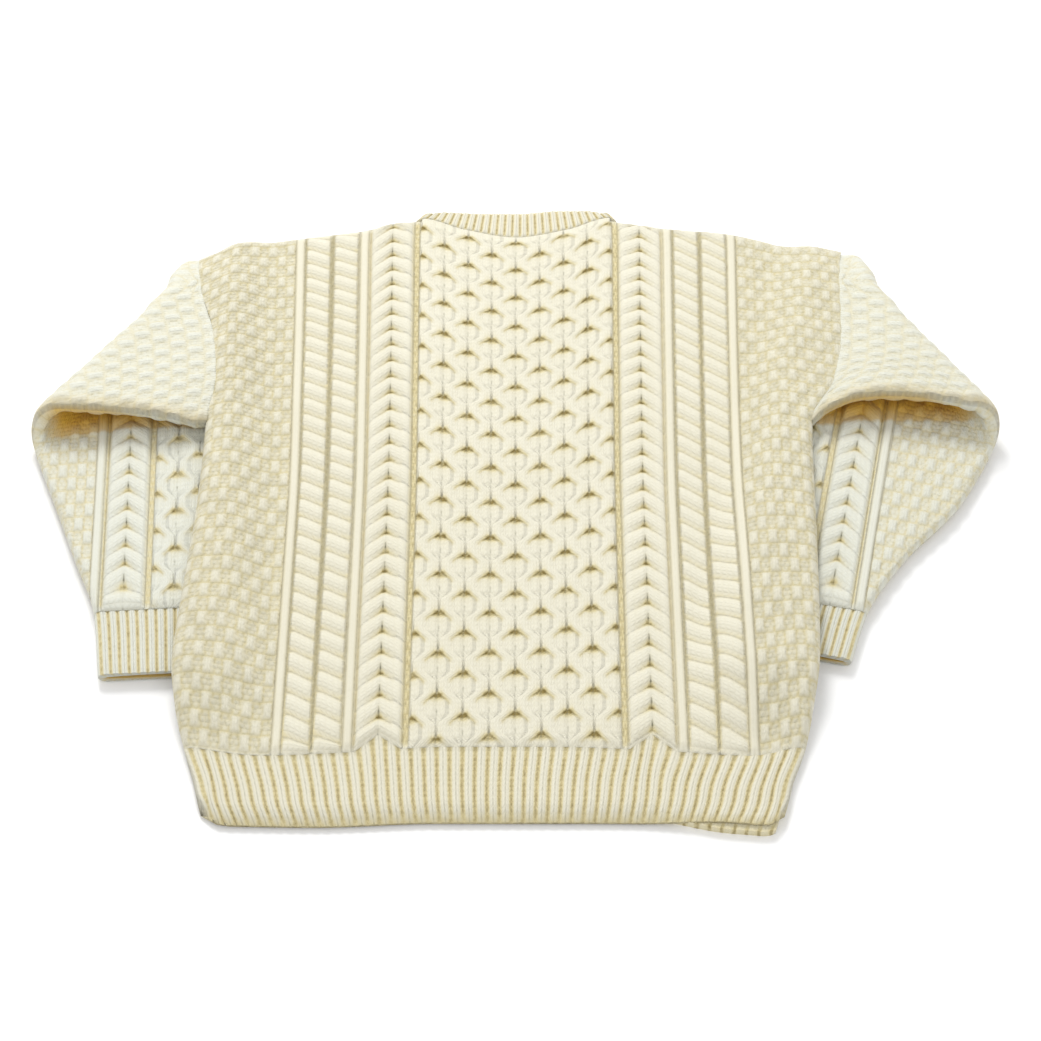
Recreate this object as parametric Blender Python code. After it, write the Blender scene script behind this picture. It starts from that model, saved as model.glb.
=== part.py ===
"""Cable knit sweater, laid flat with its back up and its sleeves folded under.

Sizes are in millimetres and become metres where vertices are made. X runs across
the sweater, y counts from the hem towards the neck, z is up from the surface it
lies on. The origin is on that surface, under the middle of the sweater.

The back, the front and the two sleeves are each knitted in one with their ribs;
the neckband is picked up round the neck. Each is a wall of its own.
"""
import math

import bmesh
import bpy
from mathutils import Vector

MM = 0.001
HALF_LENGTH = 325.0          # hem to the middle of the length: puts the origin there

# ---------------------------------------------------------------- driving sizes
WALL = 6.6                   # knitted panel without its cables
RIB_WALL = 5.0               # hem and neck rib
GAP = 0.6                    # between the back and the front, which lie on each other
SEAM = 0.3                   # each piece stands back this far from a seam
HIDDEN_SEAM = 1.2            # and this far on the coarse surfaces that are hidden
LIP = 1.2                    # thickness left where a panel rounds down to its edge
EDGE_ROUND = 9.0             # width of that rounding
RIM_LINE = 3.0               # a grid line this far in from the edge carries it

RIB_PITCH = 9.4              # one knit and one purl wale
RIB_RELIEF = 2.4
BODY_TURNS = 30              # turns of a rope or of a chevron, from the rib to the shoulder
CABLE_RELIEF = 3.4

CENTRE_X = 2.0               # middle of the honeycomb
LIFT_RAMP = 45.0             # width over which a side climbs onto the sleeve under it
LIFT_INSET = 3.0             # the climb starts this far inside the sleeve's fold

# The outline of the back, and how high the sleeve under each side lifts it.
BODY_SIDES = {
    "y":     (0, 18, 35, 70, 104, 144, 230, 310, 385, 430, 479, 530, 566, 590),
    "left":  (-234, -242, -246, -257, -266, -271, -267, -263, -262, -258, -263, -277, -282, -283),
    "right": (205, 212, 216, 229, 237, 244, 249, 252, 255, 277, 287, 290, 292, 296),
    "lift":  (0, 0, 0, 0, 7.5, 17, 18.2, 18.2, 18.5, 19.5, 21, 21, 18, 13),
}
ARMPIT_Y = 385.0
ARMPIT_RAMP = 12.0           # above the armpit the side stops being rounded over this height
THICKEN = (-8.0, 32.0)       # from here to here above the rib the wall grows to its full thickness
CUFF_END_Y = 139.0
TOP_EDGE = {
    "x": (-283, -266, -249, -231, -214, -178, -141, -105, -84, -45,
          2, 49, 88, 98, 116, 152, 189, 225, 261, 297),
    "y": (580, 593, 606, 614, 618, 624.5, 631, 641, 644, 630,
          620, 630, 645, 642, 638, 633, 629, 619, 603.5, 592),
}
HEM = {"x": (-234, -150, -60, 60, 130, 160, 205), "y": (3, 1.5, 5, 5, 4, 3, -1)}
RIB_EDGE = {"x": (-255, -196, -126, -49, 29, 107, 184, 224), "y": (69, 61, 64, 69, 69, 66, 61, 69)}
FRONT_PEEK = 5.0             # the front's hem shows this far below the back's, on the right
PEEK_START = 90.0            # from this x on, and in full
PEEK_RAMP = 80.0             # this much further right
NECK_LEFT = -84.0
NECK_RIGHT = 88.0
FRONT_NECK_DROP = 90.0       # how far the front neck lies below its ends
NECK_SLACK = 0.5             # a place this close to the neck's ends counts as neck
NECK_COLUMNS = (-84, -63, -42, -20, 2, 24, 46, 67, 88)

# The columns of the back, out from the middle: how far, how high, and how far the
# lines of the grid lean up the strand there (+1 is a chevron's peak, a rope leans one way).
HONEYCOMB_HALF = 82.5
HONEYCOMB_STEPS = 8
SIDE_COLUMNS = {
    "offset": (85, 88, 97, 107, 117, 126, 131, 136, 142, 153, 159, 165, 176, 182, 186.5, 191),
    "kind":   ("purl", "foot", "strand", "spine", "strand", "foot", "rib", "purl",
               "rope_in", "rope_out", "purl", "rope_in", "rope_out", "purl", "rib", "purl"),
}
CHEVRON_LEAN = 14.0          # a chevron's peak stands this far above its feet
ROPE_LEAN = 5.0
RIDGE_HEIGHTS = {            # height on a turn's ridge and in its valley, as shares of the relief
    "purl": (0.0, 0.0), "plain": (0.0, 0.0), "rib": (0.9, 0.9), "foot": (0.45, 0.2),
    "strand": (1.0, 0.35), "spine": (0.35, 0.0), "rope_in": (1.0, 0.4), "rope_out": (1.0, 0.4),
}
HONEY_HEIGHTS = {"dimple": 0.0, "crossing": 0.85, "strand": 1.0, "between": 0.6}
FLARE = {"y": (0, 64, 300, 450, 610), "k": (0.98, 1.0, 1.0, 1.02, 1.05)}
MOSS_STEPS = 4               # grid columns of the moss stitch at each side
MOSS_X = 200.0               # the flare of the moss stitch is read at this x
FLARE_Y = 300.0              # and a column's own at the x it has at this height
RIB_COUNT_Y = 30.0           # the hem's wales are counted at this height

# ---------------------------------------------------------------- sleeves
TUBE = 14.0                  # both layers of a flat sleeve
TUBE_WALL = 5.2
TUBE_ROUND = 7.0
FOLD_LINE = 2.5              # a grid line this far in from a fold carries its rounding
FOLD_LEAST = 2.0             # and none comes closer to it than this
TOP_TUCK = 18.0              # the sleeve's top fold lies this far inside the crease's start
TUCK_RAMP = 70.0             # it moves there over this length
FOLD_RADIUS = (4.0, 11.0)    # inside the crease, at the shoulder and at the elbow
FOLD_LENGTH = 235.0
SLEEVE_TURNS = 38            # half turns of its cables, from the armhole to the cuff
SLEEVE_ROWS = (0, 1, 2, 4, 6, 8, *range(10, SLEEVE_TURNS + 1))
CUFF_PITCH = 6.8
CUFF_RELIEF = 1.6
CUFF_BACK_STEPS = 6
ARMHOLE_STEPS = 24
RIB_SIDE = 87.0              # the rib beside a sleeve's chevron ends this far from the middle

# Each sleeve's flat cut: s runs down its top fold, t across it to the underarm.
SLEEVES = {
    "left": {
        "side": -1,
        "start": (-279.5, 581.0),
        "crease": (-0.5826, -0.8128),
        "forearm": (0.0583, -0.9983),
        "s": (31, 110, 192, 217, 262, 327, 379, 440),
        "width": (199, 172, 148, 140, 124, 101, 83, 77),
        "cuff": (379.0, 440.0),
        "panel_front": 0.0,
        "panel_back": 24.0,
        "rim_lift": 3.0,
        "rim_draw": 0.0,
    },
    "right": {
        "side": 1,
        "start": (295.5, 588.5),
        "crease": (0.5406, -0.8413),
        "forearm": (-0.21, -0.9777),
        "s": (2, 80, 157, 203, 251, 324, 384, 432),
        "width": (209.5, 185, 164, 152, 136, 96, 74, 68),
        "cuff": (384.0, 432.0),
        "panel_front": 16.0,
        "panel_back": 16.0,
        "rim_lift": 8.0,
        "rim_draw": 16.0,
    },
}
SEAM_CLIMB = 30.0            # a sleeve leaves the height of its armhole over this length
CREASE_SHIFT = 18.0          # at the armhole the crease is this far out, so the tube is flat
CREASE_SHIFT_ROWS = 6.0      # half turns over which it comes in
START_SLIM = 0.65            # the tube is thinner by this where its crease starts
START_REACH = 60.0
RISE_POWER = 0.6             # how soon the upper sleeve reaches its height
ARCH_START = 80.0            # its rim arches from this far inside the underarm,
ARCH_RAMP = 70.0             # and in full this much further out
RELIEF_RAMP = 12.0           # cables sink over this width to where they are hidden
RELIEF_CLEAR = 8.0           # and end this far from a fold

# Lines round the sleeve, from its top fold out to the underarm. "top" and "under" count in
# from the two folds, "panel" out from the middle of the honeycomb, and "moss" is a share of
# what lies between the rib and the underarm.
BACK_HALF = {
    "from":   ("top", "top", "panel", "panel", "panel", "panel", "panel", "panel",
               "moss", "moss", "moss", "moss", "moss", "under", "under"),
    "offset": (2.5, 7, 38.5, 42, 59, 77, 83, 87, 0.17, 0.34, 0.5, 0.67, 0.84, 7, 2.5),
    "kind":   ("plain", "plain", "purl", "foot", "spine", "foot", "rib", "purl",
               "plain", "plain", "plain", "plain", "plain", "plain", "plain"),
}
FRONT_HALF = {
    "from":   ("top", "top", "panel", "panel", "panel", "panel", "panel", "panel", "panel",
               "panel", "panel", "panel", "panel", "panel", "moss", "moss", "moss", "moss",
               "under", "under"),
    "offset": (2.5, 7, 18, 27, 36, 38.5, 42, 50, 59, 68, 76, 79.5, 83, 87, 0.2, 0.4, 0.6, 0.8,
               7, 2.5),
    "kind":   ("plain", "plain", "honey_2", "honey_3", "honey_4", "purl", "foot", "strand", "spine",
               "strand", "foot", "purl", "rib", "purl", "plain", "plain", "plain", "plain",
               "plain", "plain"),
}
LINE_APART = 1.2             # least distance between two lines
MOUTH_SHARES = (0.15, 0.38, 0.62, 0.85)

# ---------------------------------------------------------------- neckband
NECK_WALL = 5.6
NECK_RELIEF = 1.8
NECK_PITCH = 7.1
NECK_BAND = {
    "x": (-84, -68, -31, 5, 42, 70, 88),
    "free_y": (652, 654, 652.5, 652.5, 656, 656, 652),
}
NECK_FREE = (-77.0, 82.0)    # ends of the free edge
BAND_WIDTH_FRONT = 27.0      # at the middle of the front
BAND_WIDTH_ENDS = 9.0        # where it turns round the shoulder
BAND_BULGE = 4.0
BAND_RIBS = (0.08, 0.9)      # its ribs run over this part of its width
BAND_DIP = 1.0               # its free edge lies this much lower at the back
TURN_STEPS = 4               # steps round each of those turns


# ---------------------------------------------------------------- small helpers
def smoothstep(x):
    x = min(max(x, 0.0), 1.0)
    return x * x * (3.0 - 2.0 * x)


def read(table, key, value, at):
    """A smooth curve through the table's points, flat outside them."""
    xs, ys = table[key], table[value]
    if at <= xs[0]:
        return float(ys[0])
    if at >= xs[-1]:
        return float(ys[-1])
    i = max(k for k in range(len(xs) - 1) if xs[k] <= at)
    slopes = [(ys[k + 1] - ys[k]) / (xs[k + 1] - xs[k]) for k in range(len(xs) - 1)]
    span = xs[i + 1] - xs[i]

    def tangent(k):
        if k == 0 or k == len(xs) - 1:
            return slopes[min(k, len(slopes) - 1)]
        before, after = slopes[k - 1], slopes[k]
        return 0.0 if before * after <= 0 else 2.0 * before * after / (before + after)

    u = (at - xs[i]) / span
    return ((2 * u**3 - 3 * u**2 + 1) * ys[i] + (u**3 - 2 * u**2 + u) * span * tangent(i)
            + (3 * u**2 - 2 * u**3) * ys[i + 1] + (u**3 - u**2) * span * tangent(i + 1))


def edge_height(distance, full):
    """Height of a rounded edge above its lip line, at a distance in from the edge."""
    if distance >= EDGE_ROUND:
        return full
    rise = math.sqrt(max(0.0, 1.0 - (1.0 - distance / EDGE_ROUND) ** 2))
    return LIP + (full - LIP) * rise


def length_shares(chain):
    """How far along the chain each of its vertices lies, from 0 to 1, seen from above."""
    lengths = [0.0]
    for one, other in zip(chain, chain[1:]):
        lengths.append(lengths[-1] + (other.co - one.co).xy.length)
    return [length / lengths[-1] for length in lengths]


class Body:
    """A mesh that is built up from vertices in millimetres."""

    def __init__(self, name):
        self.name = name
        self.mesh = bmesh.new()

    def vertex(self, x, y, z):
        return self.mesh.verts.new(Vector((x, y - HALF_LENGTH, z)) * MM)

    def face(self, *corners):
        self.mesh.faces.new(corners)

    def grid(self, rows, cut="short"):
        """Quads between rows of equal length, each cut in two.

        The cut is the shorter diagonal, the one along the ridge, or always the rising one.
        """
        rises = {
            "short": lambda a, b, c, d: (a - c).length <= (b - d).length,
            "ridge": lambda a, b, c, d: a.z + c.z > b.z + d.z,
            "rising": lambda a, b, c, d: True,
        }[cut]
        for low, high in zip(rows, rows[1:]):
            for k in range(len(low) - 1):
                a, b, c, d = low[k], low[k + 1], high[k + 1], high[k]
                if rises(a.co, b.co, c.co, d.co):
                    self.face(a, b, c)
                    self.face(a, c, d)
                else:
                    self.face(a, b, d)
                    self.face(b, c, d)

    def lace(self, one, other):
        """Triangles between two chains of any length that run side by side."""
        shares_one, shares_other = length_shares(one), length_shares(other)
        i = j = 0
        while i < len(one) - 1 or j < len(other) - 1:
            next_one = shares_one[i + 1] if i < len(one) - 1 else 2.0
            next_other = shares_other[j + 1] if j < len(other) - 1 else 2.0
            if next_one <= next_other:
                self.face(one[i], one[i + 1], other[j])
                i += 1
            else:
                self.face(one[i], other[j + 1], other[j])
                j += 1

    def close(self, halves):
        """The end of a flat tube: faces from the one half of its ring to the other."""
        one, other = halves[0], halves[1][::-1]
        self.face(one[0], one[1], other[1])
        self.lace(one[1:-1], other[1:-1])
        self.face(one[-1], one[-2], other[-2])

    def finish(self, collection, material):
        bmesh.ops.recalc_face_normals(self.mesh, faces=self.mesh.faces)
        data = bpy.data.meshes.new(self.name)
        self.mesh.to_mesh(data)
        self.mesh.free()
        data.materials.append(material)
        data.shade_smooth()
        obj = bpy.data.objects.new(self.name, data)
        collection.objects.link(obj)
        return obj


def wool(name, colour):
    material = bpy.data.materials.new(name)
    material.use_nodes = True
    shader = material.node_tree.nodes["Principled BSDF"]
    shader.inputs["Base Color"].default_value = (*colour, 1.0)
    shader.inputs["Roughness"].default_value = 0.9
    shader.inputs["Metallic"].default_value = 0.0
    return material


# ---------------------------------------------------------------- shape of the body
def side_x(y, side):
    return read(BODY_SIDES, "y", "left" if side < 0 else "right", y)


def fold_x(y, side):
    """Where the inner fold of the sleeve under this side lies, and below the cuff its end."""
    cut = SLEEVES["left" if side < 0 else "right"]
    down = (cut["start"][1] - max(y, CUFF_END_Y)) / -cut["forearm"][1]
    return cut["start"][0] + cut["forearm"][0] * down - side * TOP_TUCK


def underside(x, y):
    """Height of the body's underside: flat, and climbing onto the sleeves at its sides."""
    side = -1 if x < 0 else 1
    inward = side * (fold_x(y, side) - x) - LIFT_INSET
    return read(BODY_SIDES, "y", "lift", y) * (1.0 - smoothstep(inward / LIFT_RAMP))


def top_y(x):
    return read(TOP_EDGE, "x", "y", x)


def front_top_y(x):
    if x <= NECK_LEFT or x >= NECK_RIGHT:
        return top_y(x)
    middle = 0.5 * (NECK_LEFT + NECK_RIGHT)
    across = (x - middle) / (NECK_RIGHT - middle)
    return top_y(NECK_LEFT) - FRONT_NECK_DROP * (1.0 - across * across)


def hem_y(x):
    return read(HEM, "x", "y", x)


def front_hem_y(x):
    return hem_y(x) - FRONT_PEEK * smoothstep((x - PEEK_START) / PEEK_RAMP)


def rib_edge_y(x):
    return read(RIB_EDGE, "x", "y", x)


def wall_at(x, y):
    """The panels thicken from the rib into the cable knit."""
    start, end = THICKEN
    return RIB_WALL + (WALL - RIB_WALL) * smoothstep((y - rib_edge_y(x) - start) / (end - start))


def in_neck(x):
    return NECK_LEFT - NECK_SLACK <= x <= NECK_RIGHT + NECK_SLACK


def edge_share(x, y, top):
    """Distance to the nearest edge that is rounded: the sides below the armhole and the shoulders."""
    side = -1 if x < 0 else 1
    to_side = abs(side_x(y, side) - x)
    if y > ARMPIT_Y:
        to_side = max(to_side, EDGE_ROUND * smoothstep((y - ARMPIT_Y) / ARMPIT_RAMP))
    to_top = EDGE_ROUND if in_neck(x) else top - y
    return min(to_side, to_top, EDGE_ROUND)


def column_lines():
    """Offset and kind of each line of the back's grid, from left to right."""
    half = list(zip(SIDE_COLUMNS["offset"], SIDE_COLUMNS["kind"]))
    step = HONEYCOMB_HALF / HONEYCOMB_STEPS
    middle = [(k * step, f"honey_{k % 4}") for k in range(-HONEYCOMB_STEPS, HONEYCOMB_STEPS + 1)]
    left = [(-offset, kind) for offset, kind in reversed(half)]
    return left + middle + half


def honey_relief(column, row):
    """A dimple at every second crossing of the lattice, strands between them."""
    a, b = column % 4, row % 4
    if (a, b) in ((2, 0), (0, 2)):
        return CABLE_RELIEF * HONEY_HEIGHTS["dimple"]
    if (a, b) in ((0, 0), (2, 2)):
        return CABLE_RELIEF * HONEY_HEIGHTS["crossing"]
    if a % 2 and b % 2:
        return CABLE_RELIEF * HONEY_HEIGHTS["strand"]
    return CABLE_RELIEF * HONEY_HEIGHTS["between"]


def relief(kind, row):
    """Height of a grid line above the plain wall, on the ridge rows and the valley rows."""
    if kind.startswith("honey"):
        return honey_relief(int(kind[-1]), row)
    on_ridge, in_valley = RIDGE_HEIGHTS[kind]
    return CABLE_RELIEF * (on_ridge if row % 2 == 0 else in_valley)


def lean(kind):
    return {"strand": 0.5 * CHEVRON_LEAN, "spine": CHEVRON_LEAN,
            "rope_in": ROPE_LEAN, "rope_out": -ROPE_LEAN}.get(kind, 0.0)


def back_line_x(offset, y):
    return CENTRE_X + offset * read(FLARE, "y", "k", y)


def moss_lines(side, from_x, y):
    """Grid lines from the last cable to the edge, the last two on its rounding."""
    edge = side_x(y, side) - side * SEAM
    inner = edge - side * EDGE_ROUND
    lines = [from_x + (inner - from_x) * (k + 1) / MOSS_STEPS for k in range(MOSS_STEPS)]
    return lines + [edge - side * RIM_LINE, edge]


def back_row(share, row, columns):
    """x, y and z along one row of the back, share 0 at the rib and 1 at the top edge."""
    points = []
    fade = min(1.0, row / 2.0, (2 * BODY_TURNS - row) / 2.0)

    def guess_y(x):
        return rib_edge_y(x) + (top_y(x) - SEAM - rib_edge_y(x)) * share

    def add(x, kind, y_lean):
        y = guess_y(x) + y_lean * fade
        base = underside(x, y) + WALL + GAP
        rise = edge_height(edge_share(x, y, top_y(x) - SEAM), wall_at(x, y))
        points.append((x, y, base + rise + relief(kind, row) * fade))

    ends = {}
    for side in (-1, 1):
        y = guess_y(side * MOSS_X)
        edge_y = guess_y(side_x(y, side))
        ends[side] = moss_lines(side, back_line_x(side * SIDE_COLUMNS["offset"][-1], y), edge_y)
    for x in reversed(ends[-1]):
        add(x, "plain", 0.0)
    for offset, kind in columns:
        slope = lean(kind)
        if kind.startswith("rope") and offset < 0:
            slope = -slope
        add(back_line_x(offset, guess_y(back_line_x(offset, FLARE_Y))), kind, slope)
    for x in ends[1]:
        add(x, "plain", 0.0)
    return points


# ---------------------------------------------------------------- coarse plain surfaces
PLAIN_ROWS = (0, 35, 70, 104, 124, 144, 185, 250, 320, 385, 399, 413, 442, 471, 500, 529, 558, 590)
PLAIN_RAMP = (12.0, 27.0, 45.0)
PLAIN_HEM = 70.0             # the hem's curve has faded this far up
LEAST_TUCK = 10.0            # a side lies at least this far over its sleeve's fold here
TUCK_SHARE = 0.45            # one column stands this share of that way in
NECK_MARGIN = 30.0           # and one this far out from each end of the neck


def stretched(y, x, top, hem):
    """A row moved to its place: the first one on the hem, the last one on the top edge."""
    if y <= ARMPIT_Y:
        return y + (hem(x) + SEAM) * max(0.0, 1.0 - y / PLAIN_HEM)
    return ARMPIT_Y + (y - ARMPIT_Y) * (top(x) - HIDDEN_SEAM - ARMPIT_Y) / (PLAIN_ROWS[-1] - ARMPIT_Y)


def plain_xs(y):
    """Columns of the coarse surfaces at a height: both sides' ramps and the middle."""
    lines = {}
    for side in (-1, 1):
        y_here = stretched(y, side_x(y, side), top_y, hem_y)
        edge = side_x(y_here, side) - side * HIDDEN_SEAM
        fold = fold_x(y_here, side) - side * LIFT_INSET
        tuck = max(side * (edge - fold), LEAST_TUCK)
        insets = [0.0, TUCK_SHARE * tuck, tuck] + [tuck + ramp for ramp in PLAIN_RAMP]
        lines[side] = [edge - side * inset for inset in insets]
    left, right = lines[-1], list(reversed(lines[1]))
    return left + [NECK_LEFT - NECK_MARGIN, *NECK_COLUMNS, NECK_RIGHT + NECK_MARGIN] + right


def plain_grid(body, height, top, hem):
    """A coarse grid over the whole panel, with height(x, y) above the surface it lies on."""
    rows = []
    for y in PLAIN_ROWS:
        points = [(x, stretched(y, x, top, hem)) for x in plain_xs(y)]
        rows.append([body.vertex(x, v, height(x, v)) for x, v in points])
    body.grid(rows, cut="rising")
    return rows


# ---------------------------------------------------------------- back and front
RIB_ROWS = {
    "up":     (0.0, 0.04, 0.45, 0.92),
    "height": (0.4, 0.85, 1.0, 1.0),
    "furrow": (0.0, 0.8, 1.0, 1.0),
}


def rib_row(up, height_share, furrow_share):
    """One row of the hem rib, a share of the way up it: a ridge and a furrow for each wale."""
    level = up * rib_edge_y(CENTRE_X)
    left, right = side_x(level, -1) + SEAM, side_x(level, 1) - SEAM
    count = 2 * int((side_x(RIB_COUNT_Y, 1) - side_x(RIB_COUNT_Y, -1)) / RIB_PITCH)
    points = []
    for k in range(count + 1):
        x = left + (right - left) * k / count
        y = hem_y(x) + SEAM + (rib_edge_y(x) - hem_y(x)) * up
        inward = edge_share(x, level, math.inf)
        rise = edge_height(inward, wall_at(x, y) * height_share)
        furrow = RIB_RELIEF * (k % 2) * furrow_share * smoothstep(inward / EDGE_ROUND)
        points.append((x, y, underside(x, y) + WALL + GAP + rise - furrow))
    return points


def make_back(collection):
    body = Body("back")
    columns = column_lines()
    rows = []
    for row in range(2 * BODY_TURNS + 1):
        points = back_row(row / (2.0 * BODY_TURNS), row, columns)
        rows.append([body.vertex(*point) for point in points])
    ribs = [[body.vertex(*point) for point in rib_row(*row)] for row in zip(*RIB_ROWS.values())]
    body.grid(ribs)
    body.lace(ribs[-1], rows[0])
    body.grid(rows, cut="ridge")
    inner = plain_grid(body, lambda x, y: underside(x, y) + WALL + GAP, top_y, hem_y)
    body.lace([row[0] for row in ribs + rows], [row[0] for row in inner])
    body.lace([row[-1] for row in ribs + rows], [row[-1] for row in inner])
    body.lace(ribs[0], inner[0])
    body.lace(rows[-1], inner[-1])
    return body.finish(collection, wool("cream wool back", (0.86, 0.80, 0.66)))


def make_front(collection):
    body = Body("front")

    def upper(x, y):
        return underside(x, y) + WALL

    def lower(x, y):
        distance = edge_share(x, y, front_top_y(x))
        return underside(x, y) + WALL - edge_height(distance, WALL)

    over = plain_grid(body, upper, front_top_y, front_hem_y)
    under = plain_grid(body, lower, front_top_y, front_hem_y)
    for pick in (0, -1):
        body.lace([row[pick] for row in over], [row[pick] for row in under])
        body.lace(over[pick], under[pick])
    return body.finish(collection, wool("cream wool front", (0.84, 0.78, 0.64)))


# ---------------------------------------------------------------- sleeves
class Sleeve:
    """The flat cut of one sleeve and the fold that lays its forearm under it."""

    def __init__(self, cut):
        self.cut = cut
        self.side = cut["side"]
        self.start = Vector(cut["start"])
        self.crease = Vector(cut["crease"]).normalized()
        forearm = Vector(cut["forearm"]).normalized()
        self.down = 2.0 * forearm.dot(self.crease) * self.crease - forearm
        self.across = Vector((self.side * self.down.y, -self.side * self.down.x))
        self.outward = Vector((-self.side * self.crease.y, self.side * self.crease.x))
        self.armhole = {"t": [], "s": [], "y": []}
        for k in range(ARMHOLE_STEPS + 1):
            y = self.start.y + (ARMPIT_Y - self.start.y) * k / ARMHOLE_STEPS
            place = Vector((side_x(y, self.side), y)) - self.start
            self.armhole["t"].append(place.dot(self.across))
            self.armhole["s"].append(place.dot(self.down))
            self.armhole["y"].append(y)
        self.armpit_t = self.armhole["t"][-1]
        self.armpit_s = self.armhole["s"][-1]

    def top_fold(self, s):
        return -TOP_TUCK * smoothstep(s / TUCK_RAMP)

    def underarm(self, s):
        return min(read(self.cut, "s", "width", s), self.armpit_t)

    def radius(self, along):
        share = min(max(along / FOLD_LENGTH, 0.0), 1.0)
        return FOLD_RADIUS[0] + (FOLD_RADIUS[1] - FOLD_RADIUS[0]) * share

    def place(self, s, t, depth, shift=0.0):
        """Where a point of the flat tube comes to lie; depth 0 is the front layer's face.

        The crease is moved out by shift near the armhole, where the tube still lies flat.
        """
        flat = s * self.down + t * self.across
        along, beyond = flat.dot(self.crease), flat.dot(self.outward) - shift
        inner = self.radius(along)
        middle = inner + 0.5 * TUBE
        half = 0.5 * math.pi * middle
        top = TUBE + 2.0 * inner
        if beyond >= half:
            spot = self.start + along * self.crease + (shift - beyond) * self.outward
            return Vector((spot.x, spot.y, TUBE - depth))
        seam_y = read(self.armhole, "t", "y", t)
        base = underside(side_x(seam_y, self.side), seam_y)
        from_seam = max(s - read(self.armhole, "t", "s", t), 0.0)
        climb = smoothstep(from_seam / SEAM_CLIMB)
        if beyond > -half:
            turn = (beyond + half) / middle
            out = (inner + depth) * math.sin(turn) - half + shift
            spot = self.start + along * self.crease + out * self.outward
            sink = (top - base) * (1.0 - climb) * 0.5 * (1.0 + math.cos(turn))
            return Vector((spot.x, spot.y, top - inner + (inner + depth) * math.cos(turn) - sink))
        reach = from_seam - half - beyond
        share = (from_seam / reach) ** RISE_POWER if reach > 0.0 else 0.0
        inside = smoothstep((t - self.underarm(s) + ARCH_START) / ARCH_RAMP)
        arch = 4.0 * share * (1.0 - share) * inside
        rise = base + (top - base) * share * climb + self.cut["rim_lift"] * arch
        spot = self.start + flat - self.cut["rim_draw"] * arch * self.across
        return Vector((spot.x, spot.y, rise + depth))

    def seen(self, s, t, half):
        """How much of the cable relief a place keeps: all where it is seen, none where it is hidden."""
        flat = s * self.down + t * self.across
        beyond = flat.dot(self.outward)
        reach = 0.5 * math.pi * (self.radius(flat.dot(self.crease)) + 0.5 * TUBE)
        if half == "back":
            return 1.0 - smoothstep((beyond + reach) / reach)
        from_fold = smoothstep((t - self.top_fold(s) - RELIEF_CLEAR) / RELIEF_RAMP)
        return smoothstep((beyond - reach) / RELIEF_RAMP) * from_fold

    def line_ts(self, lines, s, half):
        """Distances across of one half's lines, kept in order."""
        low, high = self.top_fold(s), self.underarm(s)
        middle = self.cut["panel_" + half]
        rib_end = min(RIB_SIDE - middle, high - TUBE_ROUND)
        ts = []
        for kind, offset in zip(lines["from"], lines["offset"]):
            ts.append({"top": low + offset, "under": high - offset, "panel": offset - middle,
                       "moss": rib_end + offset * (high - TUBE_ROUND - rib_end)}[kind])
        for k in range(1, len(ts)):
            ts[k] = max(ts[k], ts[k - 1] + LINE_APART)
        ts[-1] = min(ts[-1], high - FOLD_LEAST)
        for k in range(len(ts) - 2, -1, -1):
            ts[k] = min(ts[k], ts[k + 1] - LINE_APART)
        return ts


def round_depth(inward, thickness):
    """Half the thickness of the flattened tube at a distance in from its fold."""
    if inward >= TUBE_ROUND:
        return 0.5 * thickness
    return 0.5 * thickness * math.sqrt(max(0.0, 1.0 - (1.0 - inward / TUBE_ROUND) ** 2))


def sleeve_loop(sleeve, row):
    """s, t and depth along the two halves of one row of the sleeve."""
    share = row / SLEEVE_TURNS
    cuff_top = sleeve.cut["cuff"][0]
    fade = min(1.0, row / 2.0, (SLEEVE_TURNS - row) / 2.0)

    def s_at(t):
        return (read(sleeve.armhole, "t", "s", t) + SEAM) * (1.0 - share) + cuff_top * share

    s_under = sleeve.armpit_s * (1.0 - share) + cuff_top * share
    s_top = s_at(0.0)
    low, high = sleeve.top_fold(s_top), sleeve.underarm(s_under)
    middle = 0.5 * TUBE
    folds = {"back": (s_top, low, middle), "front": (s_under, high, middle)}
    halves = []
    for half, lines, sign in (("back", BACK_HALF, 1), ("front", FRONT_HALF, -1)):
        ts = sleeve.line_ts(lines, s_under, half)
        shift = low - sleeve.top_fold(s_under)
        points = []
        for t, kind, start in zip(ts, lines["kind"], lines["from"]):
            if start == "top":
                t += shift
            s = s_at(t) - lean(kind) * fade
            shown = fade * sleeve.seen(s, t, half) * smoothstep((high - t) / RELIEF_RAMP)
            slim = START_SLIM + (1.0 - START_SLIM) * smoothstep(math.hypot(s, t) / START_REACH)
            rounded = round_depth(min(t - low, high - t), TUBE)
            depth = middle + sign * slim * (rounded + relief(kind, row) * shown)
            points.append((s, t, depth))
        halves.append([folds[half]] + (points if half == "back" else points[::-1]))
    return halves


CUFF_ROWS = {
    "along":     (0.08, 0.5, 0.93, 1.0),
    "thickness": (0.94, 0.94, 0.94, 0.8),
    "furrow":    (1.0, 1.0, 1.0, 0.0),
}


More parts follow.
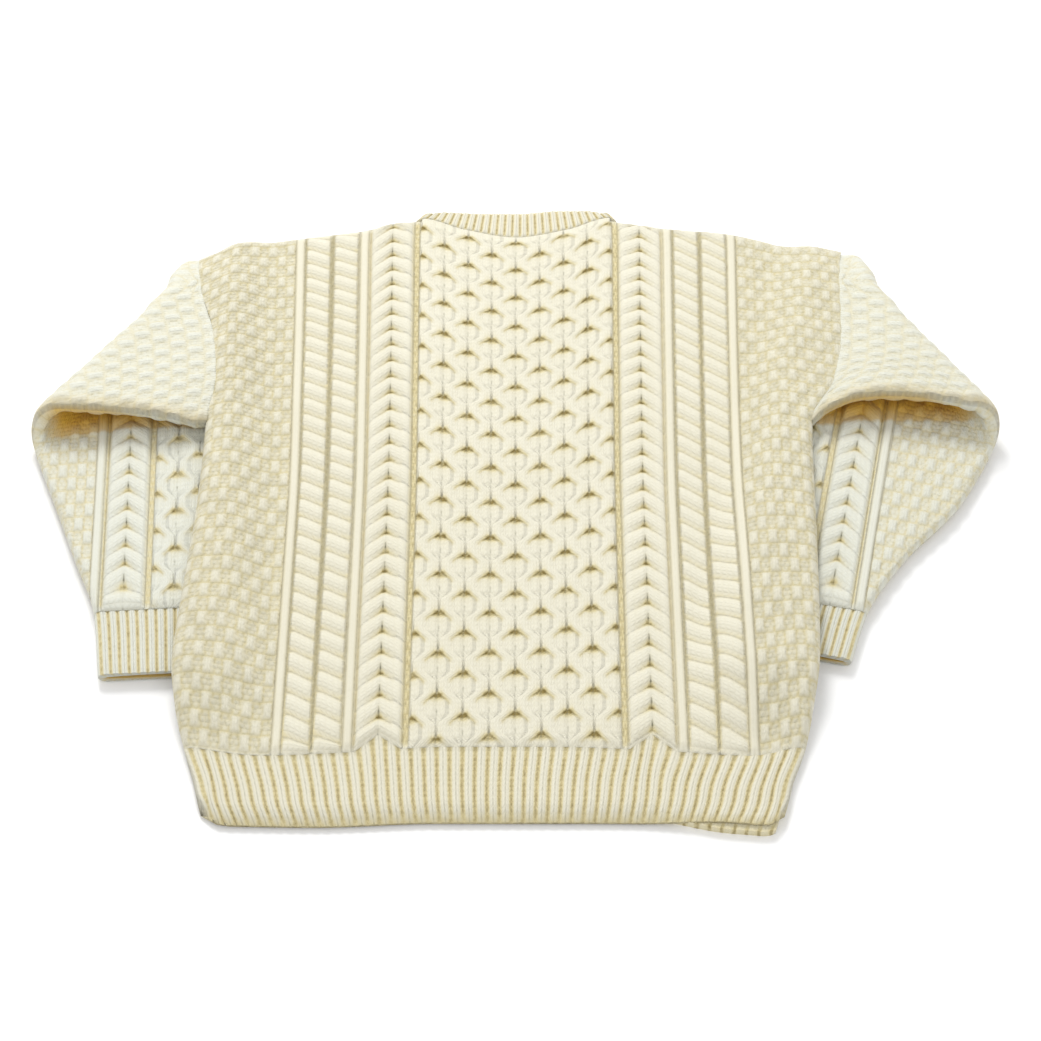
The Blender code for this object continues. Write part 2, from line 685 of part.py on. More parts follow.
def cuff_loop(sleeve, along, thickness, furrow_share):
    """One row of the cuff: knit and purl wales on its front half, plain on its back half."""
    cuff_top, cuff_end = sleeve.cut["cuff"]
    s = cuff_top + (cuff_end - cuff_top) * along
    low, high = sleeve.top_fold(s), sleeve.underarm(s)
    wales = 2 * int((sleeve.underarm(cuff_end) - low - 2.0 * TUBE_ROUND) / CUFF_PITCH)
    middle = 0.5 * TUBE

    def point(t, sign, furrow=0.0):
        return s, t, middle + sign * thickness * (round_depth(min(t - low, high - t), TUBE) - furrow)

    steps = [low + (high - low) * k / CUFF_BACK_STEPS for k in range(1, CUFF_BACK_STEPS)]
    back_ts = [low, low + FOLD_LINE] + steps + [high - FOLD_LINE]
    wale = (high - low - 2.0 * TUBE_ROUND) / wales
    deep = CUFF_RELIEF * furrow_share
    front = [point(high - TUBE_ROUND - k * wale, -1, deep * (k % 2)) for k in range(wales + 1)]
    front = [point(high, -1), point(high - FOLD_LINE, -1)] + front + [point(low + FOLD_LINE, -1)]
    return [point(t, 1) for t in back_ts], front


def mouth_loop(sleeve, s):
    """One row of the cuff's hollow."""
    low = sleeve.top_fold(s) + TUBE_WALL
    high = sleeve.underarm(s) - TUBE_WALL
    middle = 0.5 * TUBE
    gap = middle - TUBE_WALL
    back = [(s, low, middle)] + [(s, low + (high - low) * k, middle + gap) for k in MOUTH_SHARES]
    front = [(s, high, middle)] + [(s, high - (high - low) * k, middle - gap) for k in MOUTH_SHARES]
    return back, front


def make_sleeve(collection, name, cut):
    """A flat tube folded under the body: one solid, with the cuff's mouth open."""
    body = Body(name)
    sleeve = Sleeve(cut)

    def ring(loops, row):
        shift = CREASE_SHIFT * (1.0 - smoothstep(row / CREASE_SHIFT_ROWS))
        back, front = ([body.vertex(*sleeve.place(*point, shift)) for point in loop] for loop in loops)
        return back + front[:1], front + back[:1]

    rows = [ring(sleeve_loop(sleeve, row), row) for row in SLEEVE_ROWS]
    cuffs = [ring(cuff_loop(sleeve, *row), SLEEVE_TURNS) for row in zip(*CUFF_ROWS.values())]
    mouth = [ring(mouth_loop(sleeve, s), SLEEVE_TURNS) for s in reversed(cut["cuff"])]
    for half in (0, 1):
        body.grid([row[half] for row in rows])
        body.lace(rows[-1][half], cuffs[0][half])
        body.grid([row[half] for row in cuffs])
        body.lace(cuffs[-1][half], mouth[0][half])
        body.grid([row[half] for row in mouth])
    body.close(rows[0])
    body.close(mouth[-1])
    return body.finish(collection, wool("cream wool " + name, (0.87, 0.81, 0.67)))


# ---------------------------------------------------------------- neckband
def band_free_x(seam_x):
    share = (seam_x - NECK_LEFT) / (NECK_RIGHT - NECK_LEFT)
    return NECK_FREE[0] + (NECK_FREE[1] - NECK_FREE[0]) * share


def band_turn(side, backwards):
    """Stations where the band turns round a shoulder, from its back to its front."""
    back_z = WALL + GAP + 0.5 * WALL
    side_z = 0.5 * (back_z + 0.5 * WALL)
    seam_x = NECK_LEFT if side < 0 else NECK_RIGHT
    stations = []
    for k in range(1, TURN_STEPS):
        turn = math.pi * k / TURN_STEPS
        z = side_z + (back_z - side_z) * math.cos(turn)
        bulge = side * BAND_BULGE * math.sin(turn)
        seam = Vector((seam_x + bulge, top_y(seam_x) + SEAM, z))
        free = Vector((band_free_x(seam_x) + bulge, top_y(seam_x) + BAND_WIDTH_ENDS, z))
        stations.append((seam, free, Vector((side * math.sin(turn), 0.0, math.cos(turn))), 0.0))
    return stations[::-1] if backwards else stations


def make_neckband(collection):
    body = Body("neckband")
    back_z = WALL + GAP + 0.5 * WALL
    wales = 2 * int((NECK_RIGHT - NECK_LEFT) / NECK_PITCH)
    stations = []
    for k in range(wales + 1):
        seam_x = NECK_LEFT + (NECK_RIGHT - NECK_LEFT) * k / wales
        seam = Vector((seam_x, top_y(seam_x) + SEAM, back_z))
        free = Vector((band_free_x(seam_x), read(NECK_BAND, "x", "free_y", seam_x), back_z - BAND_DIP))
        stations.append((seam, free, Vector((0.0, 0.0, 1.0)), 0.0 if k % 2 else NECK_RELIEF))
    stations += band_turn(1, False)
    for seam_x in reversed(NECK_COLUMNS):
        off_centre = abs(2.0 * (seam_x - NECK_LEFT) / (NECK_RIGHT - NECK_LEFT) - 1.0)
        width = BAND_WIDTH_FRONT + (BAND_WIDTH_ENDS - BAND_WIDTH_FRONT) * off_centre**2
        seam = Vector((seam_x, front_top_y(seam_x) + SEAM, 0.5 * WALL))
        free = Vector((band_free_x(seam_x), front_top_y(seam_x) + width, 0.5 * WALL))
        stations.append((seam, free, Vector((0.0, 0.0, -1.0)), 0.0))
    stations += band_turn(-1, True)
    rings = []
    for seam, free, normal, raised in stations:
        half = 0.5 * NECK_WALL * normal
        high = half + raised * normal
        near, far = (seam.lerp(free, share) for share in BAND_RIBS)
        points = (seam - half, seam + half, near + high, far + high, free + 0.5 * half,
                  free - 0.5 * half, far - half)
        ring = [body.vertex(*point) for point in points]
        rings.append(ring + ring[:1])
    body.grid(rings + rings[:1])
    return body.finish(collection, wool("cream wool neckband", (0.88, 0.82, 0.68)))


# ---------------------------------------------------------------- main
def main():
    for obj in list(bpy.data.objects):
        bpy.data.objects.remove(obj, do_unlink=True)
    collection = bpy.data.collections.new("cable_knit_sweater")
    bpy.context.scene.collection.children.link(collection)
    make_back(collection)
    make_front(collection)
    make_sleeve(collection, "sleeve_left", SLEEVES["left"])
    make_sleeve(collection, "sleeve_right", SLEEVES["right"])
    make_neckband(collection)


main()
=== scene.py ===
"""Looks of the cable knit sweater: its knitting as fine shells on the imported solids.

Lengths are in millimetres until a mesh is written. X runs across the sweater, y counts
from the hem towards the neck, z is up from the surface it lies on.
"""
import math

import bmesh
import bpy
import numpy as np
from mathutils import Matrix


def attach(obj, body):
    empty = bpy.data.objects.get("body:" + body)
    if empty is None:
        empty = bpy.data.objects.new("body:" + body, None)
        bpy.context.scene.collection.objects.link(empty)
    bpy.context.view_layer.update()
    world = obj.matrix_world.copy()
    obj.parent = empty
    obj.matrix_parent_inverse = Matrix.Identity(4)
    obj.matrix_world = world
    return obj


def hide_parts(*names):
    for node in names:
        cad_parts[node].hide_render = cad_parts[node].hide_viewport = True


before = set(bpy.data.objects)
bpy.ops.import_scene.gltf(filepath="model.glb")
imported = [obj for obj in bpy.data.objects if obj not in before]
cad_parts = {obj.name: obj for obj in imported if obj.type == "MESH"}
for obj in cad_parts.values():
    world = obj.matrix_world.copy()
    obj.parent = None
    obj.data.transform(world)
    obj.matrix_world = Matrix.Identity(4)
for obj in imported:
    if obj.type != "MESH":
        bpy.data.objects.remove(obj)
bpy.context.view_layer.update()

MM = 0.001
HALF_LENGTH = 325.0          # hem to the middle of the length, where the origin lies

# ---------------------------------------------------------------- sizes shared with the solids
WALL = 6.6                   # knitted panel without its cables
RIB_WALL = 5.0               # hem rib
GAP = 0.6                    # between the back and the front
SEAM = 0.3                   # each piece stands back this far from a seam
LIP = 1.2                    # thickness left where a panel rounds down to its edge
EDGE_ROUND = 9.0             # width of that rounding
RIB_PITCH = 9.4              # one knit and one purl wale
RIB_RELIEF = 2.4
BODY_TURNS = 30              # turns of a rope from the rib to the shoulder
CABLE_RELIEF = 4.4
CENTRE_X = 2.0               # middle of the honeycomb
LIFT_RAMP = 45.0             # width over which a side climbs onto the sleeve under it
LIFT_INSET = 3.0             # the climb starts this far inside the sleeve's fold
BODY_SIDES = {
    "y":     (0, 18, 35, 70, 104, 144, 230, 310, 385, 430, 479, 530, 566, 590),
    "left":  (-234, -242, -246, -257, -266, -271, -267, -263, -262, -258, -263, -277, -282, -283),
    "right": (205, 212, 216, 229, 237, 244, 249, 252, 255, 277, 287, 290, 292, 296),
    "lift":  (0, 0, 0, 0, 7.5, 17, 18.2, 18.2, 18.5, 19.5, 21, 21, 18, 13),
}
ARMPIT_Y = 385.0
ARMPIT_RAMP = 12.0           # above the armpit the side stops being rounded over this height
THICKEN = (-8.0, 32.0)       # from here to here above the rib the wall grows to its full thickness
CUFF_END_Y = 139.0
TOP_EDGE = {
    "x": (-283, -266, -249, -231, -214, -178, -141, -105, -84, -45,
          2, 49, 88, 98, 116, 152, 189, 225, 261, 297),
    "y": (580, 593, 606, 614, 618, 624.5, 631, 641, 644, 630,
          620, 630, 645, 642, 638, 633, 629, 619, 603.5, 592),
}
HEM = {"x": (-234, -150, -60, 60, 130, 160, 205), "y": (3, 1.5, 5, 5, 4, 3, -1)}
RIB_EDGE = {"x": (-255, -196, -126, -49, 29, 107, 184, 224), "y": (69, 61, 64, 69, 69, 66, 61, 69)}
FRONT_PEEK = 5.0             # how far the front's hem shows on the right
FRONT_TUCK = 7.0             # and how far it lies back elsewhere
PEEK_FROM = 90.0
PEEK_RAMP = 80.0
NECK_LEFT = -84.0
NECK_RIGHT = 88.0
NECK_SLACK = 0.5             # a place this close to the neck's ends counts as neck
FRONT_NECK_DROP = 90.0       # how far the front neck lies below its ends
MOSS_X = 200.0               # rows of moss stitch are read at this x
FLARE = {"y": (0, 64, 300, 450, 610), "k": (0.98, 1.0, 1.0, 1.02, 1.05)}

TUBE = 14.0                  # both layers of a flat sleeve
TUBE_WALL = 5.2
TUBE_ROUND = 7.0
TOP_TUCK = 18.0              # the sleeve's top fold lies this far inside the crease's start
TUCK_RAMP = 70.0             # it moves there over this length
FOLD_RADIUS = (4.0, 11.0)    # inside the crease, at the shoulder and at the elbow
FOLD_LENGTH = 235.0
SLEEVE_TURNS = 38            # half turns of its cables, from the armhole to the cuff
CUFF_PITCH = 6.8
CUFF_RELIEF = 1.6
# Each sleeve's flat cut: s runs down its top fold, t across it to the underarm.
SLEEVES = {
    "left": {
        "side": -1,
        "start": (-279.5, 581.0),
        "crease": (-0.5826, -0.8128),
        "forearm": (0.0583, -0.9983),
        "s": (31, 110, 192, 217, 262, 327, 379, 440),
        "width": (199, 172, 148, 140, 124, 101, 83, 77),
        "cuff": (379.0, 440.0),
        "panel_front": 0.0,
        "panel_back": 24.0,
        "rim_lift": 3.0,
        "rim_draw": 0.0,
        "shade_from": (5.0, -10.0),
    },
    "right": {
        "side": 1,
        "start": (295.5, 588.5),
        "crease": (0.5406, -0.8413),
        "forearm": (-0.21, -0.9777),
        "s": (2, 80, 157, 203, 251, 324, 384, 432),
        "width": (209.5, 185, 164, 152, 136, 96, 74, 68),
        "cuff": (384.0, 432.0),
        "panel_front": 16.0,
        "panel_back": 16.0,
        "rim_lift": 8.0,
        "rim_draw": 16.0,
        "shade_from": (7.0, 3.0),
    },
}
SEAM_CLIMB = 30.0            # a sleeve leaves the height of its armhole over this length
CREASE_SHIFT = 18.0          # at the armhole the crease is this far out, so the tube is flat
CREASE_SHIFT_ROWS = 6.0      # half turns over which it comes in
START_SLIM = 0.85            # the tube is thinner by this where its crease starts
START_REACH = 60.0
RISE_POWER = 0.6             # how soon the upper sleeve reaches its height
ARCH_START = 80.0            # its rim arches from this far inside the underarm,
ARCH_RAMP = 70.0             # and in full this much further out
RELIEF_RAMP = 12.0           # cables sink over this width to where they are hidden
RELIEF_CLEAR = 8.0           # and end this far from a fold

NECK_WALL = 5.6
NECK_RELIEF = 1.8
NECK_PITCH = 7.1
NECK_BAND = {
    "x": (-84, -68, -31, 5, 42, 70, 88),
    "free_y": (652, 654, 652.5, 652.5, 656, 656, 652),
}
NECK_FREE = (-77.0, 82.0)    # x of the free edge at the neck's two ends
BAND_WIDTH_FRONT = 27.0      # at the middle of the front
BAND_WIDTH_ENDS = 9.0        # where it turns round the shoulder
BAND_BULGE = 4.0             # how far it stands out there
BAND_DIP = 1.0               # its free edge lies this much lower at the back

# ---------------------------------------------------------------- the knitted pattern
# Where each column of the pattern lies, out from the middle of the honeycomb.
BACK_PATTERN = {
    "honey_half": 82.5,
    "honey_unit": 82.5 / 8,
    "chevron": (107.3, 18.3),
    "ribs": (131.0, 186.5),
    "ropes": (147.0, 171.0),
    "moss": 191.0,
}
SLEEVE_PATTERN = {
    "honey_half": 36.0,
    "honey_unit": 9.0,
    "chevron": (59.0, 17.0),
    "ribs": (83.0,),
    "ropes": (),
    "moss": 87.0,
}
UPPER_PATTERN = dict(SLEEVE_PATTERN, moss=0.0)
ROPE_HALF = 11.0
CHEVRON_LEAN = 14.0          # how far a strand climbs from its foot to the spine
ROPE_LEAN = 5.5              # and from a rope's middle to its side
RIB_HALF = 3.6
MOSS_BLOCK = (8.0, 13.8)     # width and height of a block of moss stitch
TURN = 18.4                  # length of one turn of a rope or chevron
WALE = 5.15                  # width of one knit stitch
COURSES = 4                  # stitch rows in one turn
COURSE = TURN / COURSES      # height of one of them
CHANNEL_COURSES = 3          # and the rows that show in a purl channel

ROWS_A_TURN = 10             # rows of the shells in one turn
FINE = 1.9                   # width of their columns


# ---------------------------------------------------------------- small helpers
def limit(x):
    return np.clip(x, 0.0, 1.0)


def smooth(x):
    """A soft step: 0 up to 0 and 1 from 1 on."""
    x = limit(x)
    return x * x * (3.0 - 2.0 * x)


def window(x, start, end, ramps):
    """1 between start and end, with a soft ramp inside each of them."""
    return smooth((x - start) / ramps[0]) * smooth((end - x) / ramps[1])


def curve(xs, ys, at):
    """A smooth curve through the table's points, flat outside them."""
    xs, ys = np.asarray(xs, float), np.asarray(ys, float)
    slopes = np.diff(ys) / np.diff(xs)
    before, after = slopes[:-1], slopes[1:]
    both = np.where(before * after > 0, before + after, 1.0)
    inner = np.where(before * after > 0, 2.0 * before * after / both, 0.0)
    tangent = np.concatenate([slopes[:1], inner, slopes[-1:]])
    at = np.clip(at, xs[0], xs[-1])
    i = np.clip(np.searchsorted(xs, at, side="right") - 1, 0, len(xs) - 2)
    span = xs[i + 1] - xs[i]
    u = (at - xs[i]) / span
    return ((2 * u**3 - 3 * u**2 + 1) * ys[i] + (u**3 - 2 * u**2 + u) * span * tangent[i]
            + (3 * u**2 - 2 * u**3) * ys[i + 1] + (u**3 - u**2) * span * tangent[i + 1])


def arc(distance, width):
    """A quarter round: 0 at the edge and 1 from the given width on."""
    return np.sqrt(limit(1.0 - (1.0 - limit(distance / width)) ** 2))


def edge_height(distance, full):
    return LIP + (full - LIP) * arc(distance, EDGE_ROUND)


SHARP_ANGLE = 1.25           # the cut edges of the knitting stay sharp
NO_LINE = 9.0                # distance that stands for no dark line nearby
LINE_WIDTH = 1.1             # from the middle of a dark line to its edge
# The marks of a point: its stitch, 1 for purl, the painted shade of its hollow, how far the nearest
# painted dark line of shade is, how strong that line is, its painted dim shade, and its painted shade where
# it is folded under or lies inside the tube.
PLAIN = {"wale": 0.0, "course": 0.0, "purl": 0.0, "hollow": 0.0, "line": NO_LINE, "dash": 0.0,
         "dim": 0.0, "fold": 0.0}


class Shell:
    """A closed mesh in millimetres, whose points know their stitch and the painted shade they get."""

    def __init__(self, name):
        self.name = name
        self.points, self.marks = [], []
        self.faces = []
        self.count = 0

    def add(self, xyz, marks):
        """A grid of points, rows by columns, and its marks by name."""
        rows, columns = xyz.shape[:2]
        self.points.append(xyz.reshape(-1, 3))
        full = [np.broadcast_to(marks.get(name, PLAIN[name]), (rows, columns)).reshape(-1) for name in PLAIN]
        self.marks.append(np.stack(full, axis=1))
        index = self.count + np.arange(rows * columns).reshape(rows, columns)
        self.count += rows * columns
        return index

    def grid(self, index):
        a, b = index[:-1, :-1], index[:-1, 1:]
        c, d = index[1:, 1:], index[1:, :-1]
        self.faces.extend(np.stack([a, b, c, d], axis=-1).reshape(-1, 4).tolist())

    def lace(self, one, other):
        """Triangles between two chains of points that run side by side."""
        points = np.concatenate(self.points)

        def shares(chain):
            steps = np.linalg.norm(np.diff(points[chain][:, :2], axis=0), axis=1)
            lengths = np.concatenate([[0.0], np.cumsum(steps)])
            return lengths / lengths[-1]

        shares_one, shares_other = shares(one), shares(other)
        i = j = 0
        while i < len(one) - 1 or j < len(other) - 1:
            next_one = shares_one[i + 1] if i < len(one) - 1 else 2.0
            next_other = shares_other[j + 1] if j < len(other) - 1 else 2.0
            if next_one <= next_other:
                self.faces.append([int(one[i]), int(one[i + 1]), int(other[j])])
                i += 1
            else:
                self.faces.append([int(one[i]), int(other[j + 1]), int(other[j])])
                j += 1

    def finish(self, material):
        points = np.concatenate(self.points)
        points[:, 1] -= HALF_LENGTH
        data = bpy.data.meshes.new(self.name)
        data.from_pydata((points * MM).tolist(), [], self.faces)
        marks = np.concatenate(self.marks).astype(np.float32)
        for name, column in zip(PLAIN, marks.T):
            attribute = data.attributes.new(name, "FLOAT", "POINT")
            attribute.data.foreach_set("value", np.ascontiguousarray(column))
        data.materials.append(material)
        data.shade_smooth()
        data.set_sharp_from_angle(angle=SHARP_ANGLE)
        obj = bpy.data.objects.new(self.name, data)
        bpy.context.scene.collection.objects.link(obj)
        face_outwards(obj)
        return obj


def face_outwards(obj):
    """Turns every face of a closed mesh to point out."""
    mesh = bmesh.new()
    mesh.from_mesh(obj.data)
    bmesh.ops.recalc_face_normals(mesh, faces=mesh.faces)
    mesh.to_mesh(obj.data)
    mesh.free()


# ---------------------------------------------------------------- shape of the body
CORNER_ROUND = 16.0          # width and height of the hem's round corners
CORNER_RISE = 9.0


def side_of(x):
    return np.where(np.asarray(x) < 0, -1, 1)


def side_x(y, side):
    left = curve(BODY_SIDES["y"], BODY_SIDES["left"], y)
    right = curve(BODY_SIDES["y"], BODY_SIDES["right"], y)
    return np.where(np.asarray(side) < 0, left, right)


def to_side(x, y):
    return np.abs(side_x(y, side_of(x)) - x)


def flare(y):
    """How much wider than its mean the pattern is at this height."""
    return curve(FLARE["y"], FLARE["k"], y)


def fold_x(y, side):
    """Where the inner fold of the sleeve under this side lies."""
    lines = []
    for name in ("left", "right"):
        cut = SLEEVES[name]
        down = (cut["start"][1] - np.maximum(y, CUFF_END_Y)) / -cut["forearm"][1]
        lines.append(cut["start"][0] + cut["forearm"][0] * down - cut["side"] * TOP_TUCK)
    return np.where(np.asarray(side) < 0, lines[0], lines[1])


def underside(x, y):
    """Height of the body's underside: its sides climb onto the sleeves."""
    side = side_of(x)
    inward = side * (fold_x(y, side) - x) - LIFT_INSET
    return curve(BODY_SIDES["y"], BODY_SIDES["lift"], y) * (1.0 - smooth(inward / LIFT_RAMP))


def top_y(x):
    return curve(TOP_EDGE["x"], TOP_EDGE["y"], x)


def front_top_y(x):
    middle = 0.5 * (NECK_LEFT + NECK_RIGHT)
    across = (x - middle) / (NECK_RIGHT - middle)
    drop = FRONT_NECK_DROP * limit(1.0 - across * across)
    return np.where(np.abs(across) < 1.0, top_y(NECK_LEFT) - drop, top_y(x))


def hem_y(x):
    to_corner = np.minimum(x - HEM["x"][0], HEM["x"][-1] - x)
    return curve(HEM["x"], HEM["y"], x) + CORNER_RISE * (1.0 - arc(np.maximum(to_corner, 0.0), CORNER_ROUND))


def front_hem_y(x):
    return hem_y(x) + FRONT_TUCK - (FRONT_PEEK + FRONT_TUCK) * smooth((x - PEEK_FROM) / PEEK_RAMP)


def rib_edge_y(x):
    return curve(RIB_EDGE["x"], RIB_EDGE["y"], x)


def wall_at(x, y):
    """Thickness of the wall: the hem rib is thinner."""
    above = y - rib_edge_y(x) - THICKEN[0]
    return RIB_WALL + (WALL - RIB_WALL) * smooth(above / (THICKEN[1] - THICKEN[0]))


def edge_share(x, y, top):
    """Distance to the nearest edge that is rounded: the sides below the armhole and the shoulders."""
    aside = to_side(x, y)
    open_side = EDGE_ROUND * smooth((y - ARMPIT_Y) / ARMPIT_RAMP)
    aside = np.where(y > ARMPIT_Y, np.maximum(aside, open_side), aside)
    in_neck = (x >= NECK_LEFT - NECK_SLACK) & (x <= NECK_RIGHT + NECK_SLACK)
    to_top = np.where(in_neck, EDGE_ROUND, top - y)
    return np.clip(np.minimum(aside, to_top), 0.0, EDGE_ROUND)


# ---------------------------------------------------------------- relief of the pattern
def chevron_lean(p, pattern):
    """How far the rows lean up the strands of a chevron at p out from the middle."""
    centre, half = pattern["chevron"]
    return CHEVRON_LEAN * limit(1.0 - np.abs(np.abs(p) - centre) / half)


def rope_lean(p, pattern):
    """The same of the ropes; both sides of the sweater twist the same way."""
    lean = 0.0 * p
    for middle in pattern["ropes"]:
        share = (np.abs(p) - middle) / ROPE_HALF
        fade = limit((1.0 + 1.0 / ROPE_HALF - np.abs(share)) * ROPE_HALF)
        across = np.clip(share, -1.0, 1.0)
        lean = lean - ROPE_LEAN * (0.5 * across + 0.5 * np.sin(0.5 * math.pi * across)) * fade
    return np.where(p < 0, -lean, lean)


STRANDS_MEET = 0.9           # how far two strands come together, 1 when no gap is left
SWING = 1.6                  # over 1, the strands run straight for a while between crossings
EARLY = 0.15                 # half turns by which a crossing lies below its dimple
UNDER_TOP = 0.82             # height of the strand that lies under, as a share of the other's
UNDER_WIDE = 1.22            # its width, as a share of the other's
STRAND_EDGE = 0.55           # height of a strand's edge, as a share of its middle
GROUND = 0.4                 # height of the bottom of a dimple
HONEY_RELIEF = 0.74          # height of the honeycomb, as a share of the other cables'
CHEVRON_CREASE = 1.36        # half turns at which one strand of a chevron meets the next
STRAND_WALES = 1.5           # stitches in half a strand of a chevron or rope
CREASE_HEIGHT = {"spine": 0.05, "foot": 0.55, "rope": 0.18}     # of a cable between its strands
GROOVE_FLOOR = 0.30          # height of the ground between ropes and ribs
LOBE = 3.0                   # how far the side of a cable draws in between its strands
CHANNEL_HOLLOW = 0.45        # shade of the channel beside the honeycomb
NARROW_HOLLOW = 0.5          # and of the narrow ones
GAP_SHARE = 0.25             # share of a span's columns in the gap at each of its two lines
ON_TOP = 1.001               # up to this share of its half width a point lies on a strand
DIVE = (0.05, 0.4)           # swing from which the strand under it shows, and over which it rises
STRAND_SHADE = (-1.0, 0.5, (0.6, 0.4))      # half turns from a dimple where a strand's side is dark
HONEY_DASH = (0.1, 0.7)      # least and added strength of the honeycomb's dark lines
FOOT_SHARE = 0.9             # a chevron's crease has risen to its foot's height here
SPINE_SHARE = 0.7            # and its shade ends here
FOOT_SHADE = (0.92, 0.08)    # a chevron's foot is dark from this share on, over this share
CHEVRON_HOLLOW = {"crease": 0.5, "foot": 0.3}   # shade between its strands at the spine and at the foot
SPINE_DASH = 0.08            # least strength of the dark line down a spine
CABLE_ROUND = {"chevron": 3.0, "rope": 4.5}     # width over which a cable's side rounds down
ROPE_HUMP = 1.8              # power that rounds a rope's strands
ROPE_GROOVE = (0.45, 0.55)   # strength of the painted shade in the groove between strands, in the middle and more at the side
# painted shade of a rope's grooves and of its sides; the side's shade comes in from this far inside its
# edge, over this width
ROPE_HOLLOW = {"groove": 0.36, "side": 0.34, "side_from": 1.4, "side_ramp": 1.6}
OUTER_LINE = 1.65            # no dark line shows this close to the honeycomb's sides
ROPES_APART = 1.1            # half the width of the groove between two ropes
ROPES_MARKS = {"height": GROOVE_FLOOR, "dash": 0.3, "hollow": 0.4, "purl": 1.0}
RIB_BORDER = 1.5             # width of the groove on each side of a rib
BORDER_SHADE = {"dash": (0.4, 0.25), "hollow": (0.4, 0.26)}     # on the right of a rib and on its left
RIB_TOP = 0.8
RIB_EDGE_SHARE = 0.4         # height of its edge, as a share of its top
RIB_HOLLOW = 0.22            # shade of its edge
RIB_STITCH = (2.5, 0.9)      # the wale of a rib's middle, and its course
MOSS = {
    "round": 0.55,           # power that flattens its blocks
    "ground": 0.12,
    "raised": 0.52,
    "sunken": 0.06,
    "border": (-0.12, 0.3),  # swell at which the border of a block is darkest, and how wide it is
    "border_hollow": 0.34,
    "sunken_hollow": 0.1,
    "knit": 0.8,             # how far a raised block shows knit stitches
    "dim": (0.08, 0.14),     # shade of a block, and more on a sunken one
}
# Soft spots of painted shade, of painted dark lines and of the spine's dip in height: how strong, how many
# half turns up, how wide in millimetres and how tall in half turns.
SPOTS = {
    "dimple":       (0.78, 0.02, 4.0, 0.3),
    "dimple halo shade":         (0.19, -0.05, 8.5, 0.75),
    "strand side":  (0.42, 0.0, 1.8, 1.0),
    "upper dash":   (1.0, 0.55, 1.0, 0.26),
    "lower dash":   (0.8, -1.45, 1.0, 0.18),
    "spine groove": (0.3, 0.0, 1.0, 1.0),
    "spine crease": (1.0, -0.05, 1.0, 0.3),
    "spine hole":   (0.8, 0.0, 2.6, 0.2),
    "spine dash":   (0.92, 0.42, 1.0, 0.24),
    "rope groove":  (1.0, 0.0, 1.0, 0.26),
}


def dome(share, edge=0.0):
    """A rounded ridge: 1 in the middle and edge at a share of 1."""
    return edge + (1.0 - edge) * np.sqrt(limit(1.0 - share * share))


def hump(share, edge, power=2.2):
    """A softer ridge, without a dome's steep sides."""
    return edge + (1.0 - edge) * limit(1.0 - np.abs(share) ** power)


def spot(name, across, up):
    """A soft spot of the table, across and up from its place."""
    strong, above, wide, tall = SPOTS[name]
    return strong * np.exp(-((across / wide) ** 2) - ((up - above) / tall) ** 2)


def honeycomb(p, b, unit):
    """The honeycomb's strands at half turn b: one on top and one under it between two lines."""
    span = 2.0 * unit
    half = 0.5 * unit
    line = np.floor(p / span)
    share = p / span - line
    dimple = 2.0 - 2.0 * np.mod(line, 2.0)
    swing = np.clip(SWING * np.sin(0.5 * math.pi * (b - dimple + EARLY)), -1.0, 1.0) * STRANDS_MEET
    left_gap, right_gap = half * (1.0 - swing), half * (1.0 + swing)
    x = np.where(share < GAP_SHARE, left_gap * share / GAP_SHARE,
                 np.where(share < 1.0 - GAP_SHARE, left_gap + (share - GAP_SHARE) * span,
                          span - right_gap * (1.0 - share) / GAP_SHARE))
    over = (x - unit + half * swing) / half
    under = (x - unit - half * swing) / (half * UNDER_WIDE)
    on_top = np.abs(over) <= ON_TOP
    dive = smooth((np.abs(swing) - DIVE[0]) / DIVE[1])
    top = np.where(on_top, hump(over, STRAND_EDGE), GROUND)
    height = np.maximum(top, UNDER_TOP * dive * hump(under, 0.0))

    left = share < 0.5
    up = np.mod(b - np.where(left, dimple, dimple + 2.0) + 2.0, 4.0) - 2.0
    from_line = np.where(left, x, span - x)
    from_strand = np.where(left, left_gap, right_gap) - from_line
    # Painted shade in each dimple and along the strands' sides.
    hollow = spot("dimple", from_line, up) + spot("dimple halo shade", from_line, up)
    hollow = hollow + spot("strand side", from_strand, 0.0) * window(up, *STRAND_SHADE)
    dash = HONEY_DASH[0] + HONEY_DASH[1] * (spot("upper dash", 0.0, up) + spot("lower dash", 0.0, up))
    return {"x": line * span + x, "height": HONEY_RELIEF * height, "hollow": limit(hollow), "purl": 0.0,
            "wale": np.where(on_top, over, under + 2.0), "course": 0.5 * b * COURSES,
            "line": from_line, "dash": dash}


def chevron(off, b, half):
    """Strands that meet at a spine like rafters; off is the place out from the spine."""
    share = np.abs(off) / half
    up = np.mod(b - CHEVRON_CREASE + 1.0, 2.0) - 1.0
    across = 1.0 - np.abs(up)
    spine, foot = CREASE_HEIGHT["spine"], CREASE_HEIGHT["foot"]
    body = hump(across, spine + (foot - spine) * smooth(share / FOOT_SHARE))
    edge = (1.0 - share) * half - LOBE * (1.0 - body)
    height = (body - spot("spine groove", off, 0.0)) * arc(edge, CABLE_ROUND["chevron"])
    crease = spot("spine crease", 0.0, up) * limit(1.0 - share / SPINE_SHARE)
    at_foot = smooth((share - FOOT_SHADE[0]) / FOOT_SHADE[1])
    # Painted shade under the crease at the spine and at the foot.
    hollow = spot("spine hole", off, up) + CHEVRON_HOLLOW["crease"] * crease
    hollow = hollow + CHEVRON_HOLLOW["foot"] * at_foot
    return {"height": height, "hollow": limit(hollow), "purl": 0.0,
            "wale": STRAND_WALES * (up - np.sign(up)), "course": np.abs(off) / COURSE,
            "line": np.abs(off), "dash": SPINE_DASH + spot("spine dash", 0.0, up)}


